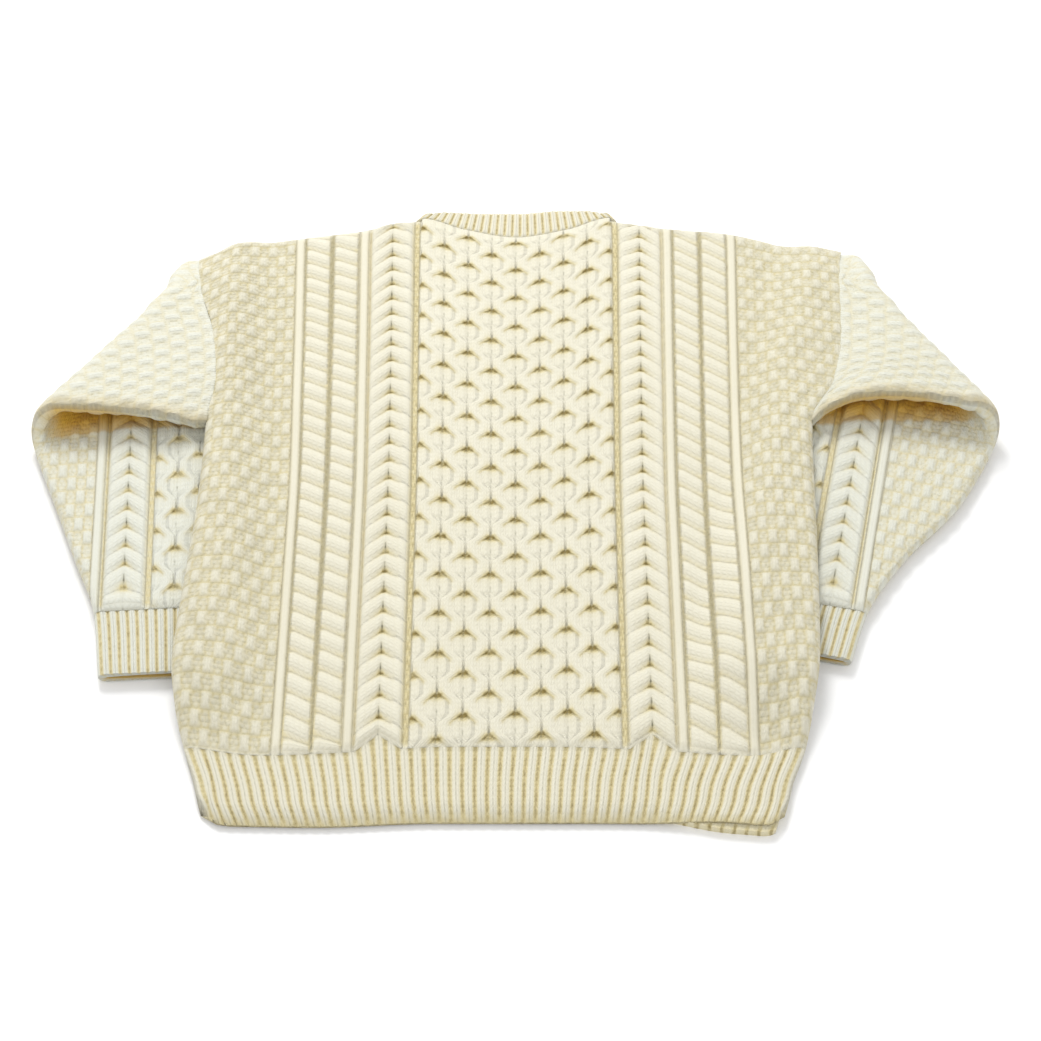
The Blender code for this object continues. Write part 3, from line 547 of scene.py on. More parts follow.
def rope(off, b):
    """Two strands twisted round each other; off is the place out from the rope's middle."""
    share = np.abs(off) / ROPE_HALF
    strand = 2.0 * np.mod(0.5 * b + 0.5, 1.0) - 1.0
    body = hump(strand, CREASE_HEIGHT["rope"], ROPE_HUMP)
    edge = ROPE_HALF - np.abs(off) - LOBE * (1.0 - body)
    height = np.maximum(body * arc(edge, CABLE_ROUND["rope"]), GROOVE_FLOOR)
    groove = spot("rope groove", 0.0, 1.0 - np.abs(strand)) * (ROPE_GROOVE[0] + ROPE_GROOVE[1] * share)
    at_side = smooth((ROPE_HOLLOW["side_from"] - edge) / ROPE_HOLLOW["side_ramp"])
    hollow = np.maximum(ROPE_HOLLOW["groove"] * groove, ROPE_HOLLOW["side"] * at_side)
    return {"height": height, "hollow": hollow, "purl": 0.0, "wale": STRAND_WALES * strand,
            "course": off / COURSE, "line": NO_LINE, "dash": 0.0}


def moss(off, b):
    """A chequer of raised knit and sunken purl bumps; off is the place out from the first one."""
    column, row = off / MOSS_BLOCK[0], 0.5 * b * TURN / MOSS_BLOCK[1]
    swell = np.sin(math.pi * column) * np.sin(math.pi * row)
    raised = limit(swell) ** MOSS["round"]
    sunken = limit(-swell) ** MOSS["round"]
    border = np.exp(-(((swell - MOSS["border"][0]) / MOSS["border"][1]) ** 2))
    return {"height": MOSS["ground"] + MOSS["raised"] * raised - MOSS["sunken"] * sunken,
            "hollow": MOSS["border_hollow"] * border + MOSS["sunken_hollow"] * sunken,
            "purl": 1.0 - MOSS["knit"] * raised, "dim": MOSS["dim"][0] + MOSS["dim"][1] * (1.0 - raised),
            "wale": off / WALE, "course": 0.5 * b * COURSES, "line": NO_LINE, "dash": 0.0}


def knit(p, b, pattern):
    """The fields of the pattern at p out from its middle and half turn b."""
    out = np.abs(p)
    blank = 0.0 * (p + b)
    centre, half = pattern["chevron"]
    wide = (out > pattern["honey_half"]) & (out < centre - half)
    in_channel = {"purl": 1.0, "course": 0.5 * b * CHANNEL_COURSES + blank}
    ground = {"x": p, "height": blank, "hollow": np.where(wide, CHANNEL_HOLLOW, NARROW_HOLLOW),
              "wale": 2.0 * out / WALE, "line": NO_LINE, "dash": blank, "dim": blank, **in_channel}
    fields = {name: value + blank for name, value in ground.items()}

    def put(inside, made):
        for name, values in made.items():
            fields[name] = np.where(inside, values, fields[name])

    put(out <= pattern["honey_half"], honeycomb(p + blank, b, pattern["honey_unit"]))
    put((out <= pattern["honey_half"]) & (out > pattern["honey_half"] - OUTER_LINE), {"line": NO_LINE})
    put(np.abs(out - centre) <= half, chevron(out - centre, b, half))
    for middle in pattern["ropes"]:
        put(np.abs(out - middle) <= ROPE_HALF, rope(out - middle, b))
    for one, other in zip(pattern["ropes"], pattern["ropes"][1:]):
        off = np.abs(out - 0.5 * (one + other))
        put(off <= ROPES_APART, {**in_channel, **ROPES_MARKS, "line": off})
    for middle in pattern["ribs"]:
        off = np.abs(out - middle)
        on_right = (out - middle) * np.sign(p) > 0.0
        shade = {name: np.where(on_right, *values) for name, values in BORDER_SHADE.items()}
        put(off <= RIB_HALF + RIB_BORDER,
            {**in_channel, **shade, "height": GROOVE_FLOOR, "line": np.abs(off - RIB_HALF)})
        put(off <= RIB_HALF,
            {"height": RIB_TOP * dome(off / RIB_HALF, RIB_EDGE_SHARE), "purl": 0.0,
             "hollow": RIB_HOLLOW * (off / RIB_HALF) ** 2,
             "wale": RIB_STITCH[0] + (out - middle) / (2.0 * RIB_HALF), "course": RIB_STITCH[1]})
    put(out >= pattern["moss"], moss(out - pattern["moss"], b))
    return fields


def stops(*knots):
    """Columns from knot to knot, none wider than FINE."""
    made = [knots[0]]
    for one, other in zip(knots, knots[1:]):
        steps = max(1, math.ceil(abs(other - one) / FINE))
        made += [one + (other - one) * (k + 1) / steps for k in range(steps)]
    return made


def rows_of(half_turns):
    """The half turn at each row of a shell."""
    each = ROWS_A_TURN / 2.0
    return np.arange(round(half_turns * each) + 1) / each


# ---------------------------------------------------------------- creases
# Soft troughs of the back, each from one place to another, with its width and depth.
CREASE_ENDS = 15.0           # each trough fades from this far beyond its end to as far inside it
CREASES = {
    "from_x": (-238, -252, 214, 232),
    "from_y": (150, 250, 120, 250),
    "to_x":   (-190, -215, 190, 205),
    "to_y":   (80, 180, 60, 160),
    "width":  (11.0, 12.0, 11.0, 12.0),
    "depth":  (2.6, 1.6, 2.2, 1.4),
}


def creases(x, y):
    deep = 0.0 * x
    for from_x, from_y, to_x, to_y, width, depth in zip(*CREASES.values()):
        way = np.array((to_x - from_x, to_y - from_y), float)
        length = np.hypot(*way)
        along = ((x - from_x) * way[0] + (y - from_y) * way[1]) / length
        aside = ((y - from_y) * way[0] - (x - from_x) * way[1]) / length
        ends = window(along, -CREASE_ENDS, length + CREASE_ENDS, (2.0 * CREASE_ENDS, 2.0 * CREASE_ENDS))
        deep = deep + depth * ends * np.exp(-((aside / width) ** 2))
    return -deep


# ---------------------------------------------------------------- back
SPAN_STEPS = 12              # columns of the shells from one line of the honeycomb to the next


def back_columns():
    pattern = BACK_PATTERN
    centre, half = pattern["chevron"]
    inner_rib, outer_rib = pattern["ribs"]
    inner_rope, outer_rope = pattern["ropes"]
    side = stops(pattern["honey_half"], centre - half, centre, centre + half,
                 inner_rib - RIB_HALF, inner_rib, inner_rib + RIB_HALF,
                 inner_rope - ROPE_HALF, inner_rope, inner_rope + ROPE_HALF,
                 outer_rope - ROPE_HALF, outer_rope, outer_rope + ROPE_HALF,
                 outer_rib - RIB_HALF, outer_rib, outer_rib + RIB_HALF, pattern["moss"])
    steps = round(SPAN_STEPS * pattern["honey_half"] / (2.0 * pattern["honey_unit"]))
    honey = [pattern["honey_half"] * k / steps for k in range(-steps, steps + 1)]
    return np.array([-p for p in reversed(side[1:])] + honey + side[1:])


ROW_STRETCH = 0.09           # the rows are this much taller than the mean at the hem, lower at the top
FIRST_ROW = -1.0             # half turn of the pattern that the body starts with
ROW_TILT = {"x": (-105, -67, -22, 22, 67), "down": (0.8, 0.6, 0.3, 0.1, 0.0)}
MOSS_COLUMNS = 40            # columns of the shell from the outer rib to the side
RIB_MERGE = 0.6              # half turns over which the cables rise out of the hem rib
TOP_MERGE = 1.2              # and over which they sink again at the top
LEAN_MERGE = 2.0             # half turns over which rows come to lean, at the top and along a sleeve
ROPE_START = 1.5             # half turns over which the ropes start to twist


def pattern_row(b, x):
    """Half turn of the pattern at row b: the rows lie lower on the left."""
    return b + FIRST_ROW + curve(ROW_TILT["x"], ROW_TILT["down"], x)


def side_moss(b, side, guess_y):
    """Places and fields of the moss stitch from the outer rib to one side of the back."""
    y = guess_y(side * MOSS_X)
    edge = side_x(guess_y(side_x(y, side)), side) - side * SEAM
    start = CENTRE_X + side * BACK_PATTERN["moss"] * flare(y)
    k = (np.arange(MOSS_COLUMNS) + 1.0)[None, :] / MOSS_COLUMNS
    xs = start + (edge - start) * k
    p = side * (BACK_PATTERN["moss"] + np.abs(xs - start))
    fields = knit(p, pattern_row(b, side * MOSS_X), BACK_PATTERN)
    fields["x"] = xs
    return {name: values[:, ::side] for name, values in fields.items()}


HEM_CURL = 5.0               # how far the back's hem curls down over the front's
HEM_CURL_WIDTH = 13.0
SIDE_CURL = 3.4              # the same of its sides
CURL_WIDTH = 12.0
CURL_FROM = 8.0              # the sides curl from this height up to the armpit
CURL_ENDS = 40.0             # and less over this length at both ends
SEAM_FADE = 5.0              # the relief ends this far from the armhole
EDGE_RELIEF = 0.15           # how soon it rises from a rounded edge
FRONT_INSET = 4.0            # the front's sides lie this far inside the back's
LOWEST = 0.3                 # nothing of the back reaches lower


def side_curl(x, y):
    ends = window(y, CURL_FROM, ARMPIT_Y, (CURL_ENDS, CURL_ENDS))
    return SIDE_CURL * ends * (1.0 - arc(to_side(x, y), CURL_WIDTH))


def hem_curl(x, y):
    """How far the back's hem curls down; less where the front peeks out under it."""
    ends = 1.0 - smooth((x - PEEK_FROM) / PEEK_RAMP)
    return HEM_CURL * ends * (1.0 - smooth((y - hem_y(x)) / HEM_CURL_WIDTH))


def back_lower(x, y):
    """Height of the back's inner face, which curls down along the hem and the sides."""
    curl = np.maximum(hem_curl(x, y), side_curl(x, y))
    return np.maximum(underside(x, y) + WALL + GAP - curl, LOWEST)


def back_surface():
    """Points and marks of the back's outer face, without the hem rib."""
    b = rows_of(2 * BODY_TURNS)[:, None]
    fade = limit(np.minimum(b / RIB_MERGE, (2 * BODY_TURNS - b) / TOP_MERGE))
    share = b / (2.0 * BODY_TURNS)
    share = share + ROW_STRETCH * share * (1.0 - share)
    p = back_columns()[None, :]
    middle = knit(p, pattern_row(b, p), BACK_PATTERN)

    def guess_y(x):
        return rib_edge_y(x) + (top_y(x) - SEAM - rib_edge_y(x)) * share

    near = guess_y(CENTRE_X + middle["x"])
    middle["x"] = CENTRE_X + middle["x"] * flare(near)
    twist = limit(b / ROPE_START)
    middle["lean"] = chevron_lean(p, BACK_PATTERN) + rope_lean(p, BACK_PATTERN) * twist
    left, right = side_moss(b, -1, guess_y), side_moss(b, 1, guess_y)
    left["lean"], right["lean"] = 0.0 * left["x"], 0.0 * right["x"]
    full = {name: np.concatenate([left[name], middle[name], right[name]], axis=1) for name in middle}
    x = full["x"]
    y = guess_y(x) + full["lean"] * limit((2 * BODY_TURNS - b) / LEAN_MERGE)
    distance = edge_share(x, y, top_y(x) - SEAM)
    rise = edge_height(distance, wall_at(x, y))
    seam_fade = np.where(y > ARMPIT_Y, smooth(to_side(x, y) / SEAM_FADE), 1.0)
    taper = fade * seam_fade * smooth(distance / EDGE_ROUND + EDGE_RELIEF)
    z = back_lower(x, y) + rise + CABLE_RELIEF * full["height"] * taper + creases(x, y)
    full["hollow"] = full["hollow"] * fade
    return np.stack([x, y, z], axis=-1), {name: full[name] for name in full if name in PLAIN}


RIB_COLUMNS = 8              # columns of the shell in one wale pair
RIB_REACH = 0.998            # share of its height that the rib fills, the rest joins it to the body
RIB_ROWS = 15
RIB_COUNT_Y = 30.0           # the wales are counted at this height
FURROW_HOLLOW = 0.56         # shade of a furrow's bottom
FURROW_SHADE = (0.76, 0.4)   # a furrow is dark below this much of its wave, over this much
WALE_DASH = 0.3              # strength of the dark line in it
WALE_ROUND = 0.7             # power that rounds a wale
HEM_BUNCH = 1.1              # power that draws the rows together towards the hem
HEM_ROLL = (0.004, 0.1)      # share of the rib's height at its first row, and that its edge is rounded over
HEM_THIN = (0.35, 0.65)      # share of the thickness at the edge, and what rounding adds
RIB_END = (0.9, 0.1)         # share of its height where the rib turns into the body, and over which
RIB_END_FLAT = 0.6           # how far its furrows fade there
TIP_HOLLOW = (0.4, 0.2)      # shade of the hem's edge, and more in its furrows
LEDGE_HOLLOW = 0.55          # shade of the furrows' upper ends


def furrows(k):
    """Wave, painted shade, dark line and dash of one by one rib at wale pair k."""
    wave = np.abs(np.sin(math.pi * (k + 0.5)))
    from_wale = np.abs(np.mod(k, 1.0) - 0.5)
    hollow = FURROW_HOLLOW * smooth((FURROW_SHADE[0] - wave) / FURROW_SHADE[1])
    line = (0.5 - from_wale) * 2.0 * WALE
    return wave, {"wale": 2.0 * k, "hollow": hollow, "line": line, "dash": WALE_DASH}


def hem_rib():
    """Points and marks of the back's hem rib."""
    up = np.linspace(0.0, 1.0, RIB_ROWS)[:, None] ** HEM_BUNCH
    level = up * rib_edge_y(CENTRE_X)
    left, right = side_x(level, -1) + SEAM, side_x(level, 1) - SEAM
    pairs = int((side_x(RIB_COUNT_Y, 1) - side_x(RIB_COUNT_Y, -1)) / RIB_PITCH)
    k = np.arange(pairs * RIB_COLUMNS + 1)[None, :] / RIB_COLUMNS
    x = left + (right - left) * k / pairs
    reach = rib_edge_y(x) + chevron_lean(x - CENTRE_X, BACK_PATTERN) - hem_y(x) - SEAM
    y = hem_y(x) + SEAM + reach * up * RIB_REACH
    distance = edge_share(x, level + 0.0 * x, np.inf)
    thin = HEM_THIN[0] + HEM_THIN[1] * arc(up + HEM_ROLL[0], HEM_ROLL[1])
    rise = edge_height(distance, wall_at(x, y) * thin)
    wave, marks = furrows(k)
    at_end = smooth((up - RIB_END[0]) / RIB_END[1])
    furrow = RIB_RELIEF * (1.0 - wave ** WALE_ROUND) * smooth(distance / EDGE_ROUND) * thin
    furrow = furrow * (1.0 - RIB_END_FLAT * at_end)
    z = np.maximum(back_lower(x, y) + rise - furrow, LOWEST + LIP)
    marks["course"] = y / COURSE
    tip = (1.0 - smooth(up / HEM_ROLL[1])) * (TIP_HOLLOW[0] + TIP_HOLLOW[1] * (1.0 - wave))
    ledge = LEDGE_HOLLOW * at_end * (1.0 - wave)
    marks["hollow"] = np.maximum(marks["hollow"], np.maximum(tip, ledge))
    return np.stack([x, y, z], axis=-1), marks


INNER_ROWS = 40
INNER_COLUMNS = 48
FRONT_COLUMNS = 320
FRONT_ROWS = 64
GUESS_Y = (20.0, 580.0)      # a first guess of where the rows lie, and how far they reach
GUESS_ROUNDS = 4             # rounds in which it settles
HEM_SHADE_RAMP = 14.0        # the part of the front's hem that shows is shaded up to here
HEM_SHADE = (0.3, 0.5)       # all over, and more in its furrows
HEM_FURROW = (0.7, 0.4)      # as FURROW_SHADE


def inner_face(top, hem, height, columns=INNER_COLUMNS, rows=INNER_ROWS, inset=SEAM):
    """A plain face over a whole panel, with height(x, y) above the surface it lies on."""
    share = np.linspace(0.0, 1.0, rows)[:, None]
    across = np.linspace(0.0, 1.0, columns)[None, :]
    y = GUESS_Y[0] + GUESS_Y[1] * share
    for _ in range(GUESS_ROUNDS):
        x = side_x(y, -1) + inset + (side_x(y, 1) - side_x(y, -1) - 2.0 * inset) * across
        y = hem(x) + SEAM + (top(x) - hem(x) - 2.0 * SEAM) * share
    z = height(x, y)
    marks = {"wale": x / WALE, "course": y / COURSE}
    in_hem = 1.0 - smooth((y - hem(x)) / HEM_SHADE_RAMP)
    wave = np.abs(np.sin(math.pi * x / RIB_PITCH))
    in_furrow = smooth((HEM_FURROW[0] - wave) / HEM_FURROW[1])
    marks["hollow"] = in_hem * (HEM_SHADE[0] + HEM_SHADE[1] * in_furrow)
    return np.stack([x, y, z], axis=-1), marks


def make_back(material):
    shell = Shell("back_knit")
    rib = shell.add(*hem_rib())
    rows = shell.add(*back_surface())
    shell.grid(rib)
    shell.grid(rows)
    shell.lace(rib[-1], rows[0])
    inner = shell.add(*inner_face(top_y, hem_y, back_lower))
    shell.grid(inner)
    for pick in (0, -1):
        shell.lace(np.concatenate([rib[:, pick], rows[:, pick]]), inner[:, pick])
    shell.lace(rib[0], inner[0])
    shell.lace(rows[-1], inner[-1])
    return shell.finish(material)


def make_front(material):
    shell = Shell("front_knit")

    def lower(x, y):
        distance = edge_share(x, y, front_top_y(x))
        return underside(x, y) + WALL - edge_height(distance, WALL)

    def upper(x, y):
        return underside(x, y) + WALL - 0.5 * side_curl(x, y)

    size = (FRONT_COLUMNS, FRONT_ROWS, FRONT_INSET)
    over = shell.add(*inner_face(front_top_y, front_hem_y, upper, *size))
    under = shell.add(*inner_face(front_top_y, front_hem_y, lower, *size))
    shell.grid(over)
    shell.grid(under)
    for pick in (0, -1):
        shell.lace(over[:, pick], under[:, pick])
        shell.lace(over[pick], under[pick])
    return shell.finish(material)


# ---------------------------------------------------------------- sleeves
# The lines that a sleeve's columns follow, each at an offset from its top fold, from the middle
# of its pattern or back from the underarm; then the columns from each line to the next.
LINE_APART = 1.2             # least width between two of them
LINES = {
    "back": {
        "from":   ("top",) * 2 + ("panel",) * 6 + ("under",) * 2,
        "offset": (0, 7, 38.5, 42, 59, 76, 79.4, 86.6, 7, 0),
    },
    "front": {
        "from":   ("top",) * 2 + ("panel",) * 8 + ("under",) * 2,
        "offset": (0, 7, 18, 36, 38.5, 42, 59, 76, 79.4, 86.6, 7, 0),
    },
}
SEGMENT_STEPS = {"back": (5, 20, 3, 9, 9, 3, 5, 60, 4), "front": (5, 10, 12, 2, 3, 9, 9, 3, 5, 45, 4)}

FACING = {"back": 1.0, "front": -1.0}
ARMHOLE_STEPS = 24           # places of the armhole that its table holds
TINY = 0.001                 # keeps the armhole's places in order, and what is divided by above 0
SLEEVE_FIRST_ROW = 40.0      # half turn of the pattern at the armhole, from where it counts down
HIDDEN = 0.05                # where less than this of the relief is left, columns stay in place
ARMHOLE_SEAM = -1.5          # the sleeve's knitting reaches this far under the back's edge
RIM_FADE = 1.5               # the relief fades over this width at the underarm's edge
RIM_BAND = 14.0              # the knitting shows this far round the underarm's edge
SHADE_AT = (300.0, 395.0)    # how far out the shade's two starts lie, by the body and by the elbow
SHADE_RAMP = 4.5             # the shade under the upper arm comes in over this width
SHADE_DEEP = 22.0            # and is in full this far inside
SHADE_SHARE = (0.7, 0.3)     # how dark it is from its start, and how much darker further in
SHADE_END = (386.0, 20.0)    # from here on out light falls into the elbow, and over this width
SHADE_LIT = 0.7              # share of the shade that this light takes away
SHADE_CUFF = 60.0            # it fades over this length above the cuff
ROLL_SHADE = 0.36            # painted shade on the upper arm's rolled edge, where it turns under
UPPER_QUIET = {"hollow": 0.5, "purl": 0.6, "dim": 0.0, "dash": 0.0}      # what is left of these marks there
LOWER_QUIET = {"hollow": 0.8, "purl": 0.8, "dim": 0.3, "dash": 1.0}      # and on the forearm
ROLL_WIDTH = 15.0            # of that edge


def crease_shift(rows):
    """How far out the crease lies at each row."""
    return (CREASE_SHIFT * (1.0 - smooth(rows / CREASE_SHIFT_ROWS)))[:, None]


class Sleeve:
    """The flat cut of one sleeve and the fold that lays its forearm under it."""

    def __init__(self, cut):
        self.cut = cut
        self.side = cut["side"]
        self.start = np.array(cut["start"])
        self.crease = np.array(cut["crease"]) / np.linalg.norm(cut["crease"])
        forearm = np.array(cut["forearm"]) / np.linalg.norm(cut["forearm"])
        self.down = 2.0 * forearm.dot(self.crease) * self.crease - forearm
        self.across = np.array((self.side * self.down[1], -self.side * self.down[0]))
        self.outward = np.array((-self.side * self.crease[1], self.side * self.crease[0]))
        step = np.arange(ARMHOLE_STEPS + 1)
        self.arm_y = self.start[1] + (ARMPIT_Y - self.start[1]) * step / ARMHOLE_STEPS
        place = np.stack([side_x(self.arm_y, self.side), self.arm_y], axis=1) - self.start
        self.arm_t = place @ self.across + TINY * step
        self.arm_s = place @ self.down

    def top_fold(self, s):
        """t of the fold at the sleeve's top."""
        return -TOP_TUCK * smooth(s / TUCK_RAMP)

    def underarm(self, s):
        return np.minimum(curve(self.cut["s"], self.cut["width"], s), self.arm_t[-1])

    def radius(self, along):
        """Inner radius of the crease, from the shoulder along it."""
        return FOLD_RADIUS[0] + (FOLD_RADIUS[1] - FOLD_RADIUS[0]) * limit(along / FOLD_LENGTH)

    def place(self, s, t, depth, shift):
        """Where points of the flat tube come to lie; depth 0 is the front layer's face."""
        flat = s[..., None] * self.down + t[..., None] * self.across
        along, beyond = flat @ self.crease, flat @ self.outward - shift
        inner = self.radius(along)
        middle = inner + 0.5 * TUBE
        half = 0.5 * math.pi * middle
        top = TUBE + 2.0 * inner
        seam_y = curve(self.arm_t, self.arm_y, t)
        base = underside(side_x(seam_y, self.side), seam_y)
        from_seam = np.maximum(s - curve(self.arm_t, self.arm_s, t), 0.0)
        climb = smooth(from_seam / SEAM_CLIMB)

        on_crease = self.start + along[..., None] * self.crease
        under = on_crease + (shift - beyond)[..., None] * self.outward
        turn = np.clip((beyond + half) / middle, 0.0, math.pi)
        out = (inner + depth) * np.sin(turn) - half + shift
        round_it = on_crease + out[..., None] * self.outward
        sink = (top - base) * (1.0 - climb) * 0.5 * (1.0 + np.cos(turn))
        round_z = top - inner + (inner + depth) * np.cos(turn) - sink
        reach = np.maximum(from_seam - half - beyond, 0.0) + TINY
        share = limit(from_seam / reach) ** RISE_POWER
        arch = 4.0 * share * (1.0 - share) * smooth((t - self.underarm(s) + ARCH_START) / ARCH_RAMP)
        rise = base + (top - base) * share * climb + self.cut["rim_lift"] * arch
        over = self.start + flat - self.cut["rim_draw"] * arch[..., None] * self.across
        is_under = beyond >= half
        is_round = (beyond > -half) & ~is_under
        xy = np.where(is_under[..., None], under, np.where(is_round[..., None], round_it, over))
        z = np.where(is_under, TUBE - depth, np.where(is_round, round_z, rise + depth))
        return np.concatenate([xy, z[..., None]], axis=-1)

    def seen(self, s, t, half):
        """1 where this half's relief shows, 0 inside the fold."""
        flat = s[..., None] * self.down + t[..., None] * self.across
        beyond = flat @ self.outward
        reach = 0.5 * math.pi * (self.radius(flat @ self.crease) + 0.5 * TUBE)
        if half == "back":
            return 1.0 - smooth((beyond + reach) / reach)
        in_fold = smooth((t - self.top_fold(s) - RELIEF_CLEAR) / RELIEF_RAMP)
        return smooth((beyond - reach) / RELIEF_RAMP) * in_fold

    def line_ts(self, s, half):
        """t of every line at each row's s, kept in order and apart."""
        low, high = self.top_fold(s), self.underarm(s)
        middle = self.cut["panel_" + half]
        ts = []
        for kind, offset in zip(LINES[half]["from"], LINES[half]["offset"]):
            places = {"top": low + offset, "panel": offset - middle + 0.0 * s, "under": high - offset}
            ts.append(places[kind])
        for k in range(1, len(ts)):
            ts[k] = np.maximum(ts[k], ts[k - 1] + LINE_APART)
        ts[-1] = high
        for k in range(len(ts) - 2, -1, -1):
            ts[k] = np.minimum(ts[k], ts[k + 1] - LINE_APART)
        return np.stack(ts, axis=1)


def round_depth(inward):
    """Half the thickness of a sleeve this far in from its folds."""
    return 0.5 * TUBE * arc(inward, TUBE_ROUND)


def sleeve_edges(sleeve, rows):
    """s along each row at any t, s at its underarm, and t of its top fold and its underarm."""
    share = rows / SLEEVE_TURNS
    cuff_top = sleeve.cut["cuff"][0]

    def s_at(t):
        seam = curve(sleeve.arm_t, sleeve.arm_s, t) + ARMHOLE_SEAM
        return seam * (1.0 - share[:, None]) + cuff_top * share[:, None]

    s_under = sleeve.arm_s[-1] * (1.0 - share) + cuff_top * share
    s_top = s_at(np.zeros((len(rows), 1)))[:, 0]
    return s_at, s_under, sleeve.top_fold(s_top), sleeve.underarm(s_under)


def slimming(s, t):
    """The tube is thinner at the shoulder's point."""
    return START_SLIM + (1.0 - START_SLIM) * smooth(np.hypot(s, t) / START_REACH)


def sleeve_half(sleeve, half, rows):
    """s, t, depth and marks of one half of the sleeve, from its top fold out to the underarm."""
    from_ends = np.minimum(rows, SLEEVE_TURNS - rows)[:, None]
    fade = limit(from_ends / RIB_MERGE)
    s_at, s_under, low, high = sleeve_edges(sleeve, rows)
    knots = sleeve.line_ts(s_under, half)
    knots[:, :2] += (low - sleeve.top_fold(s_under))[:, None]
    low, high = low[:, None], high[:, None]
    columns = [knots[:, :1]]
    for k, steps in enumerate(SEGMENT_STEPS[half]):
        parts = (np.arange(steps) + 1.0)[None, :] / steps
        columns.append(knots[:, k:k + 1] + (knots[:, k + 1:k + 2] - knots[:, k:k + 1]) * parts)
    t = np.concatenate(columns, axis=1)
    p = t + sleeve.cut["panel_" + half]
    pattern = UPPER_PATTERN if half == "back" else SLEEVE_PATTERN
    marks = knit(p, SLEEVE_FIRST_ROW - rows[:, None], pattern)
    for name, share in (UPPER_QUIET if half == "back" else LOWER_QUIET).items():
        marks[name] = marks[name] * share
    moved = t + (marks["x"] - p)
    s = s_at(t) - chevron_lean(p, SLEEVE_PATTERN) * limit(from_ends / LEAN_MERGE)
    inward = np.minimum(t - low, high - t)
    seen = sleeve.seen(s, t, half)
    shown = seen
    if half == "front":
        shown = np.maximum(seen, smooth((RIM_BAND - high + t) / RIM_BAND))
    raised = CABLE_RELIEF * marks["height"] * fade * shown * smooth((high - t) / RIM_FADE)
    depth = 0.5 * TUBE + FACING[half] * slimming(s, t) * (round_depth(inward) + raised)
    moved = np.clip(np.where(seen > HIDDEN, moved, t), low, high)
    marks["hollow"] = marks["hollow"] * fade
    if half == "back":
        marks["fold"] = ROLL_SHADE * (1.0 - smooth((high - t) / ROLL_WIDTH))
    return s, moved, depth, marks


CUFF_STEPS = 8               # columns of the shell in one wale pair
CUFF_ROW_COUNT = 16
CUFF_START = 0.002           # share of the cuff that joins it to the sleeve
CUFF_THICK = (0.94, 0.14)    # share of the sleeve's thickness, and how much less at its end
CUFF_END = (0.9, 0.1)        # share of its length from which it thins, and over which


def cuff_half(sleeve, half):
    """s, t, depth and marks of one half of the cuff."""
    cuff_top, cuff_end = sleeve.cut["cuff"]
    along = np.linspace(CUFF_START, 1.0, CUFF_ROW_COUNT)[:, None]
    s = cuff_top + (cuff_end - cuff_top) * along
    low, high = sleeve.top_fold(s), sleeve.underarm(s)
    pairs = int((sleeve.underarm(cuff_end) - sleeve.top_fold(cuff_end)) / CUFF_PITCH)
    k = np.arange(pairs * CUFF_STEPS + 1)[None, :] / CUFF_STEPS
    t = low + (high - low) * k / pairs
    inward = np.minimum(t - low, high - t)
    wave, marks = furrows(k)
    furrow = CUFF_RELIEF * (1.0 - wave ** WALE_ROUND) * smooth(inward / TUBE_ROUND)
    thick = CUFF_THICK[0] - CUFF_THICK[1] * smooth((along - CUFF_END[0]) / CUFF_END[1])
    depth = 0.5 * TUBE + FACING[half] * thick * (round_depth(inward) - furrow)
    marks["course"] = s / COURSE
    return s + 0.0 * t, t, depth, marks


LINING_COLUMNS = 41
LINING_ROWS = 70
MOUTH_ROWS = 11              # of the inside, in the cuff
INSIDE_SHADE = 0.9            # painted shade of the inside of the tube


def inside_half(sleeve, half):
    """The inside of the tube, from the cuff's mouth up to the armhole."""
    cuff_top, cuff_end = sleeve.cut["cuff"]
    k = np.linspace(0.0, 1.0, LINING_COLUMNS)[None, :]
    in_cuff = np.linspace(cuff_end, cuff_top, MOUTH_ROWS + 1)[:-1, None]
    rows = np.linspace(SLEEVE_TURNS, 0.0, LINING_ROWS)
    s_at, s_under, low_main, high_main = sleeve_edges(sleeve, rows)
    low = np.concatenate([sleeve.top_fold(in_cuff[:, 0]), low_main])[:, None] + TUBE_WALL
    high = np.concatenate([sleeve.underarm(in_cuff[:, 0]), high_main])[:, None] - TUBE_WALL
    t = low + (high - low) * k
    s = np.concatenate([in_cuff + 0.0 * k, s_at(t[MOUTH_ROWS:])], axis=0)
    gap = (0.5 * TUBE - TUBE_WALL) * np.sin(math.pi * k) ** 0.5 * slimming(s, t)
    marks = {"wale": t / WALE, "course": s / COURSE, "fold": INSIDE_SHADE}
    return s, t, 0.5 * TUBE + FACING[half] * gap, marks


def fold_shade(sleeve, points):
    """Painted shade of each point of the forearm, from 0 to 1, by how far under the upper arm it lies."""
    place = points[..., :2] - sleeve.start
    s, t = place @ sleeve.down, place @ sleeve.across
    out = np.abs(points[..., 0])
    start = curve(SHADE_AT, sleeve.cut["shade_from"], out)
    deep = sleeve.underarm(s) - t - start
    inside = smooth(deep / SHADE_RAMP) * (SHADE_SHARE[0] + SHADE_SHARE[1] * smooth(deep / SHADE_DEEP))
    inside = inside * (1.0 - SHADE_LIT * smooth((out - SHADE_END[0]) / SHADE_END[1]))
    return inside * smooth((sleeve.cut["cuff"][0] - s) / SHADE_CUFF)


